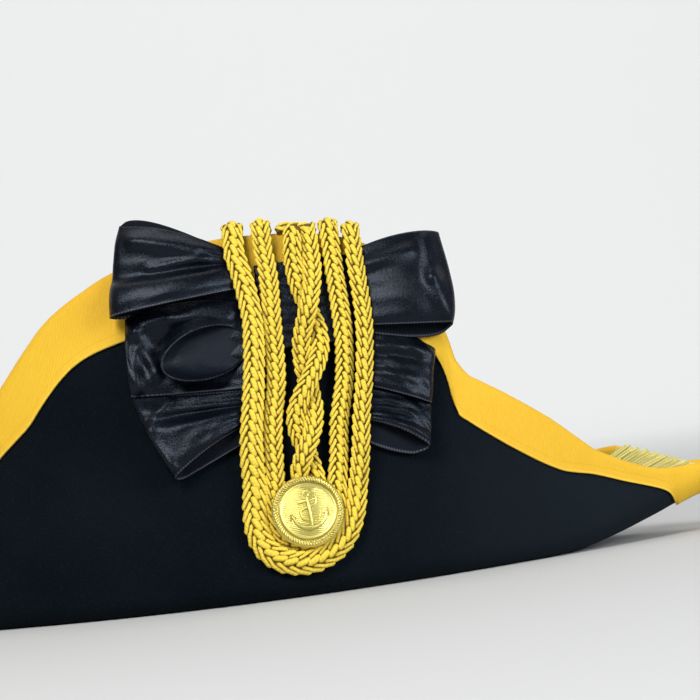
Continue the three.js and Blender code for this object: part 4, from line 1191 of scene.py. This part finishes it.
def felt_material(groups, settings):
    """Near-black felt: fibres in the colour and the bump, faint slate clouds, painted light that turns it
    paler towards the front point, and a soft sheen.
    """
    material, bench, shader = material_bench("felt")
    place = bench.place()
    fibres = place_group(bench, groups["fibres"], Vector=place, Fine_Scale=1500.0, Cloud_Scale=16.0)
    # Painted light: the felt turns paler slate towards the front point, where more light falls on it
    painted_light_towards_point = bench.ramp(bench.part(place, 0), 0.07, 0.19, 0, 1.5)
    clouds_and_painted_light = bench.plus(bench.times(fibres["Clouds"], 0.3), painted_light_towards_point)
    tint = bench.mix(clouds_and_painted_light, (*settings.felt, 1), (*settings.felt_light, 1))
    lint = bench.ramp(fibres["Grain"], 0.62, 1.0, 0.0, 0.35)
    bench.feed(shader, "Base Color", bench.mix(lint, tint, (0.018, 0.026, 0.034, 1)))
    bench.feed(shader, "Roughness", bench.ramp(fibres["Clouds"], 0, 1, 0.98, 0.86))
    paint(shader, Specular_IOR_Level=0.05, Sheen_Weight=0.02, Sheen_Roughness=0.5, Sheen_Tint=(0.5, 0.6, 0.7, 1))
    bump(bench, shader, fibres["Grain"], 0.0004, 0.5)
    return material


def ribbon_material(groups, settings):
    """Golden ribbed ribbon: ribs across it, painted shade in the hollows between the ribs, with slow changes
    of tone.
    """
    material, bench, shader = material_bench("edge ribbon")
    uv = bench.cloth()
    place = bench.place()
    ribs = place_group(bench, groups["ribs"], Vector=uv, Pitch=0.8)
    clouds = place_group(bench, groups["fibres"], Vector=place, Fine_Scale=900.0, Cloud_Scale=14.0)
    tone = bench.mix(clouds["Clouds"], (*settings.ribbon, 1), (*settings.ribbon_warm, 1))
    # Painted shade: a darker warm brown in the hollows between the ribs
    rib_shaded = bench.mix(bench.ramp(ribs["Ribs"], 0, 1, 0.26, 0.0), tone, (0.55, 0.27, 0.015, 1))
    across = bench.part(uv, 1)
    hem = bench.band(across, 0.5, 0.2, 0.7, 0.4)
    seam = bench.band(across, SEAM[0], 0.1, 0.45, 0.2)
    rib_shaded = bench.mix(hem, bench.mix(seam, rib_shaded, (0.5, 0.25, 0.015, 1)), (0.95, 0.68, 0.1, 1))
    lint = bench.ramp(clouds["Grain"], 0.6, 1, 0, 0.18)
    bench.feed(shader, "Base Color", bench.mix(lint, rib_shaded, (0.95, 0.68, 0.11, 1)))
    paint(shader, Roughness=0.62, Specular_IOR_Level=0.2, Sheen_Weight=0.04, Sheen_Roughness=0.4)
    bump(bench, shader, ribs["Height"], 0.00014, 0.6)
    return material


def satin_material(groups, settings):
    """Blue-black satin: a close warp that streaks the gloss, painted sheen as paler streaks in the colour, a
    pale woven edge, and a matt back.
    """
    material, bench, shader = material_bench("satin")
    uv = bench.cloth()
    stretched = bench.node("ShaderNodeMapping", {"Vector": uv, "Scale": (0.5, 2.6, 1.0)}).outputs[0]
    streak = bench.noise(stretched, 1.0, 4.0, 0.65)
    place = bench.place()
    clouds = place_group(bench, groups["fibres"], Vector=place, Fine_Scale=1100.0, Cloud_Scale=45.0)
    across = bench.part(uv, 1)
    along = bench.part(uv, 0)
    dashes = bench.ramp(bench.maths("SINE", bench.times(along, 5.2)), -0.3, 0.5, 0.25, 1)
    selvedge = bench.times(bench.band(across, 0.55, 0.2, 0.5, 1), dashes)
    tone = bench.mix(clouds["Clouds"], (*settings.satin, 1), (*settings.satin_light, 1))
    # Painted sheen: paler streaks along the warp in the colour
    sheen_streaked = bench.mix(bench.ramp(streak, 0.5, 0.75, 0, 0.35), tone, (0.006, 0.008, 0.015, 1))
    bench.feed(shader, "Base Color", bench.mix(selvedge, sheen_streaked, (0.07, 0.072, 0.09, 1)))
    skin = bench.tone()
    gloss = bench.ramp(clouds["Grain"], 0.1, 0.9, 0.2, 0.31)
    bench.feed(shader, "Roughness", bench.maths("MAXIMUM", gloss, bench.ramp(skin, 0.4, 0.6, 0.85, 0)))
    paint(shader, Specular_IOR_Level=0.24, Specular_Tint=(0.7, 0.82, 1.0, 1))
    height = bench.plus(bench.times(streak, 0.2), bench.times(clouds["Grain"], 0.6))
    bump(bench, shader, height, 0.0002, 0.6)
    return material


def braid_material(groups, settings):
    """Golden yarn: every stitch has a tone of its own and shows its plies, with painted shade between the
    plies and on the side of each stitch that faces the core; the core is olive brown painted shade.
    """
    material, bench, shader = material_bench("braided cord")
    uv = bench.cloth()
    tone = bench.tone()
    twist = place_group(bench, groups["twist"], Vector=uv, Pitch=1.5, Plies=2.0)["Height"]
    yarn = bench.mix(bench.ramp(tone, -0.2, 0.3, 0.0, 1.0), (*settings.braid, 1), (*settings.braid_warm, 1))
    # Painted shade: darker brown in the grooves between the plies of the twist
    yarn = bench.mix(bench.ramp(twist, 0.0, 0.5, 0.22, 0.0), yarn, (0.36, 0.23, 0.02, 1))
    # Painted shade on the side of each stitch that faces the core, and all over the core
    painted_hollow_shade = bench.ramp(tone, -1.1, -0.2, 0.96, 0.0)
    bench.feed(shader, "Base Color", bench.mix(painted_hollow_shade, yarn, (0.1, 0.056, 0.003, 1)))
    paint(shader, Roughness=0.55, Specular_IOR_Level=0.2)
    bump(bench, shader, twist, 0.00012, 0.55)
    return material


def gilt_material(groups, settings):
    """Soft polished gilt: fine lines across the dome, darker in the groove round it."""
    material, bench, shader = material_bench("gilt button")
    place = bench.place()
    clouds = place_group(bench, groups["fibres"], Vector=place, Fine_Scale=700.0, Cloud_Scale=160.0)
    tone = bench.mix(bench.times(clouds["Clouds"], 0.5), (*settings.gilt, 1), (0.66, 0.55, 0.12, 1))
    uv = bench.cloth()
    field = bench.ramp(bench.tone(), 0.75, 0.9, 1, 0)
    radius = bench.node("ShaderNodeVectorMath", {0: uv}, operation="LENGTH").outputs["Value"]
    groove = bench.band(radius, 11.55, 0.25, 0.6, 0.75)
    upright = bench.part(uv, 1)
    hatch = bench.times(bench.wave(bench.times(upright, 9.0)), field)
    hatch = bench.times(hatch, bench.ramp(radius, 9.9, 10.1, 1, 0))
    dark = bench.maths("MAXIMUM", bench.times(groove, field), bench.times(hatch, 0.3))
    bench.feed(shader, "Base Color", bench.mix(dark, tone, (0.3, 0.22, 0.04, 1)))
    bench.feed(shader, "Roughness", bench.ramp(clouds["Clouds"], 0, 1, 0.32, 0.46))
    paint(shader, Metallic=1.0)
    bump(bench, shader, bench.plus(bench.times(clouds["Grain"], 0.3), hatch), 0.00016, 0.6)
    return material


def bullion_material(groups, settings):
    """Coiled metal thread: close turns round each strand in the bump, painted shade between the turns,
    each strand with its own tone.
    """
    material, bench, shader = material_bench("bullion")
    uv = bench.cloth()
    tone = bench.tone()
    coil = place_group(bench, groups["twist"], Vector=uv, Pitch=0.7, Plies=1.0)["Height"]
    strand = bench.mix(tone, (*settings.bullion, 1), (*settings.bullion_light, 1))
    # Painted shade: darker in the grooves between the turns of the coil
    bench.feed(shader, "Base Color", bench.mix(bench.ramp(coil, 0, 0.5, 0.45, 0), strand, (0.2, 0.16, 0.03, 1)))
    paint(shader, Metallic=0.35, Roughness=0.4)
    bump(bench, shader, coil, 0.00025, 0.7)
    return material


def colour(label, words, default):
    """A colour setting."""
    return bpy.props.FloatVectorProperty(
        name=label, description=words, default=default, subtype="COLOR", size=3, min=0.0, max=1.0)


def length(label, words, millimetres):
    """A length setting, given in millimetres."""
    return bpy.props.FloatProperty(
        name=label, description=words, default=millimetres * MM, min=0.1 * MM, unit="LENGTH",
        subtype="DISTANCE")


def power(label, words, watts):
    """A light's power setting."""
    return bpy.props.FloatProperty(name=label, description=words, default=watts, min=0.0, subtype="POWER")


class HAT_PG_sizes(bpy.types.PropertyGroup):
    """Sizes of the braid's stitches and of the cockade's pleats."""

    outer_stitch: length("Outer stitch", "From one stitch to the next along the outer cord", 4.3)
    inner_stitch: length("Inner stitch", "From one stitch to the next along the inner cord", 3.7)
    twist_stitch: length("Twist stitch", "From one stitch to the next along the twisted pair", 3.9)
    cross_stitch: length("Cross stitch", "From one stitch to the next along the short cord", 3.8)
    pleat_depth: length("Pleat depth", "How far the pleats stand out by the gathers", 1.3)
    pleats: bpy.props.FloatProperty(
        name="Pleats", description="Pleats across the width of a loop", default=4.5, min=0.0, max=12.0)


class HAT_PG_cloth(bpy.types.PropertyGroup):
    """Colours of the felt, ribbons, cords and metal."""

    felt: colour("Felt", "Near-black felt", (0.0012, 0.0032, 0.0054))
    # Slate for the felt's clouds and for the painted light towards the front point
    felt_light: colour("Felt, worn", "Slate where the felt catches the light", (0.0075, 0.0115, 0.016))
    ribbon: colour("Edge ribbon", "Golden ribbon folded over the edge", (0.75, 0.47, 0.026))
    ribbon_warm: colour("Edge ribbon, warm", "Its warmer patches", (0.71, 0.405, 0.019))
    satin: colour("Satin", "Blue-black satin", (0.0008, 0.0014, 0.0034))
    satin_light: colour("Satin, light", "Paler satin", (0.0022, 0.0032, 0.007))
    braid: colour("Cord", "Golden yarn", (0.84, 0.635, 0.066))
    braid_warm: colour("Cord, warm", "Deeper golden yarn", (0.81, 0.53, 0.058))
    gilt: colour("Gilt", "Gilt of the button", (0.8, 0.71, 0.23))
    bullion: colour("Bullion", "Metal thread", (0.74, 0.66, 0.18))
    bullion_light: colour("Bullion, light", "Brighter metal thread", (0.95, 0.86, 0.36))


class HAT_PG_stage(bpy.types.PropertyGroup):
    """The floor, the light and the camera."""

    floor: colour("Floor", "Pale floor and backdrop", (0.53, 0.536, 0.537))
    sky: bpy.props.FloatProperty(
        name="Sky", description="Strength of the even light from all round", default=0.25, min=0.0)
    surround: bpy.props.FloatProperty(
        name="Surround", description="Brightness of the room beyond the backdrop", default=0.86, min=0.0)
    key: power("Key light", "Power of the large soft light", 21.0)
    fill: power("Fill light", "Power of the light beside the camera", 15.0)
    backdrop: power("Backdrop light", "Power of the light on the backdrop", 18.5)
    lens: bpy.props.FloatProperty(
        name="Focal length", description="Camera lens on a 36 mm sensor, in mm", default=127.85, min=20.0)
    distance: bpy.props.FloatProperty(
        name="Distance", description="Camera to the place it looks at", default=1.0, min=0.2, unit="LENGTH",
        subtype="DISTANCE")
    roll: bpy.props.FloatProperty(
        name="Roll", description="Turn of the picture about the line of sight", default=math.radians(7.5),
        subtype="ANGLE", unit="ROTATION")
    elevation: bpy.props.FloatProperty(
        name="Elevation", description="Height of the camera above the place it looks at, as an angle",
        default=math.radians(-1.0), subtype="ANGLE", unit="ROTATION")


MATERIALS = {}


def material_for(name, context):
    """The hat's materials are made once, from the colours in the sidebar."""
    if not MATERIALS:
        groups = make_groups()
        settings = context.scene.hat_cloth
        makers = dict(
            felt=felt_material, ribbon=ribbon_material, satin=satin_material, braid=braid_material,
            gilt=gilt_material, bullion=bullion_material,
        )
        MATERIALS.update({key: make(groups, settings) for key, make in makers.items()})
    return MATERIALS[name]


class HAT_OT_felt(bpy.types.Operator):
    """Make the felt crown and the turned-up brim"""

    bl_idname = "hat.felt"
    bl_label = "Felt crown and brim"

    def execute(self, context):
        material = material_for("felt", context)
        build_crown(material)
        build_brim(material)
        return {"FINISHED"}


class HAT_OT_binding(bpy.types.Operator):
    """Fold the golden ribbon over the edge of the brim"""

    bl_idname = "hat.binding"
    bl_label = "Edge ribbon"

    def execute(self, context):
        build_binding(material_for("ribbon", context))
        return {"FINISHED"}


class HAT_OT_cockade(bpy.types.Operator):
    """Make the satin loops on both sides of the cords"""

    bl_idname = "hat.cockade"
    bl_label = "Ribbon cockade"

    def execute(self, context):
        build_cockade(material_for("satin", context), context.scene.hat_sizes)
        return {"FINISHED"}


class HAT_OT_cords(bpy.types.Operator):
    """Braid the looped cords, the twisted pair and the short end"""

    bl_idname = "hat.cords"
    bl_label = "Braided cords"

    def execute(self, context):
        build_cords(material_for("braid", context), context.scene.hat_sizes)
        return {"FINISHED"}


class HAT_OT_button(bpy.types.Operator):
    """Make the domed button"""

    bl_idname = "hat.button"
    bl_label = "Button"

    def execute(self, context):
        build_button(material_for("gilt", context))
        return {"FINISHED"}


class HAT_OT_bullion(bpy.types.Operator):
    """Make the bullion tassels at both points"""

    bl_idname = "hat.bullion"
    bl_label = "Bullion tassels"

    def execute(self, context):
        build_bullion(material_for("bullion", context))
        return {"FINISHED"}


# Lights: place and target in metres, size across and tint. Each one's power is the setting of its name.
LIGHTS = {
    "key": ((-0.5, -1.1, 1.1), (0.03, -0.05, 0.08), 0.75, (1.0, 0.985, 0.96)),
    "fill": ((1.1, -1.0, 0.5), (0.05, 0, 0.07), 0.7, (0.95, 0.975, 1.0)),
    "backdrop": ((0.0, 0.8, 2.4), (0.0, 2.4, 0.6), 1.8, (1.0, 0.995, 0.985)),
}
# Floor in millimetres: how far it goes before and beside the hat, where it bends up behind it, the bend's
# radius and the backdrop's top
FLOOR_BEFORE, FLOOR_HALF_WIDTH = 3200.0, 3500.0
BEND_FROM, BEND_RADIUS = 1500.0, 900.0
BACKDROP_TOP = 3600.0


def area_light(name, place, target, size, watts, tint):
    """Round area light at a place, turned to its target."""
    light = bpy.data.lights.new(name, "AREA")
    light.shape = "DISK"
    light.size = size
    light.energy = watts
    light.color = tint
    lamp = bpy.data.objects.new(name, light)
    lamp.location = place
    lamp.rotation_euler = (Vector(target) - Vector(place)).to_track_quat("-Z", "Y").to_euler()
    bpy.context.scene.collection.objects.link(lamp)


class HAT_OT_stage(bpy.types.Operator):
    """Lay the pale floor, set the lights and the camera"""

    bl_idname = "hat.stage"
    bl_label = "Floor, light and camera"

    def execute(self, context):
        settings = context.scene.hat_stage
        material, bench, shader = material_bench("pale floor")
        place = bench.place()
        clouds = bench.ramp(bench.noise(place, 1.4, 2.0), 0.3, 0.7, 0.0, 0.3)
        tint = bench.mix(clouds, (*settings.floor, 1), tuple(0.985 * v for v in settings.floor) + (1,))
        bench.feed(shader, "Base Color", tint)
        away = bench.part(place, 1)
        glow = bench.node("ShaderNodeMapRange", {"Value": away, "From Min": 0.1, "From Max": 1.8, "To Max": 1.0},
                          interpolation_type="SMOOTHSTEP").outputs["Result"]
        bench.feed(shader, "Emission Color", bench.mix(glow, (0, 0, 0, 1), (0.412, 0.415, 0.416, 1)))
        paint(shader, Roughness=0.9, Specular_IOR_Level=0.1, Emission_Strength=1.0)
        turn = np.linspace(0, math.pi / 2, 24)
        bend = np.column_stack([BEND_FROM + BEND_RADIUS * np.sin(turn), BEND_RADIUS * (1 - np.cos(turn))])
        profile = np.concatenate([[[-FLOOR_BEFORE, 0]], bend, [[BEND_FROM + BEND_RADIUS, BACKDROP_TOP]]])
        x = np.array([-FLOOR_HALF_WIDTH, FLOOR_HALF_WIDTH])
        points = np.stack([
            np.repeat(x, len(profile)), np.tile(profile[:, 0], 2), np.tile(profile[:, 1], 2),
        ], -1)
        floor = new_piece("floor", points, grid_faces(2, len(profile)).tolist(), weld=False)
        floor.data.materials.append(material)

        world = bpy.data.worlds.new("studio") if context.scene.world is None else context.scene.world
        context.scene.world = world
        world.use_nodes = True
        background = world.node_tree.nodes["Background"]
        background.inputs["Color"].default_value = (0.95, 0.965, 0.975, 1)
        sky = NodeBench(world.node_tree)
        seen = sky.node("ShaderNodeLightPath").outputs["Is Camera Ray"]
        sky.feed(background, "Strength", sky.ramp(seen, 0, 1, settings.sky, settings.surround))
        for name, (place, target, size, tint) in LIGHTS.items():
            area_light(name, place, target, size, getattr(settings, name), tint)

        view_from = settings.elevation
        forwards = Vector((0, math.cos(view_from), -math.sin(view_from)))
        right = Vector((1, 0, 0))
        upright = right.cross(forwards)
        across = math.cos(settings.roll) * right - math.sin(settings.roll) * upright
        above = math.sin(settings.roll) * right + math.cos(settings.roll) * upright
        look_at = Vector((0.045, -0.060 + MIDDLE_Y, 0.094))
        camera = bpy.data.objects.new("camera", bpy.data.cameras.new("camera"))
        camera.data.lens = settings.lens
        camera.data.sensor_width = 36.0
        turn = Matrix((across, above, -forwards)).transposed()
        camera.matrix_world = Matrix.Translation(look_at - forwards * settings.distance) @ turn.to_4x4()
        camera.data.clip_end = 50.0
        context.scene.collection.objects.link(camera)
        context.scene.camera = camera
        context.scene.view_settings.view_transform = "Standard"
        return {"FINISHED"}


class HAT_PT_panel(bpy.types.Panel):
    """Sidebar panel that lists the hat's pieces and settings"""

    bl_label = "Bicorne hat"
    bl_idname = "HAT_PT_panel"
    bl_space_type = "VIEW_3D"
    bl_region_type = "UI"
    bl_category = "Hat"

    def draw(self, context):
        layout = self.layout
        for setting in SETTINGS:
            group = getattr(context.scene, setting)
            box = layout.box()
            for name in group.bl_rna.properties.keys():
                if name not in ("rna_type", "name"):
                    box.prop(group, name)
        for operator in OPERATORS:
            layout.operator(operator.bl_idname)


OPERATORS = [
    HAT_OT_felt, HAT_OT_binding, HAT_OT_cockade, HAT_OT_cords, HAT_OT_button, HAT_OT_bullion, HAT_OT_stage,
]
SETTINGS = {"hat_sizes": HAT_PG_sizes, "hat_cloth": HAT_PG_cloth, "hat_stage": HAT_PG_stage}
CLASSES = [*SETTINGS.values(), *OPERATORS, HAT_PT_panel]


def register():
    for item in CLASSES:
        bpy.utils.register_class(item)
    for name, group in SETTINGS.items():
        setattr(bpy.types.Scene, name, bpy.props.PointerProperty(type=group))


def unregister():
    for name in SETTINGS:
        delattr(bpy.types.Scene, name)
    for item in reversed(CLASSES):
        bpy.utils.unregister_class(item)


def main():
    """Registers the classes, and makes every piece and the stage."""
    register()
    for operator in OPERATORS:
        family, name = operator.bl_idname.split(".")
        getattr(getattr(bpy.ops, family), name)()


if __name__ == "__main__":
    main()
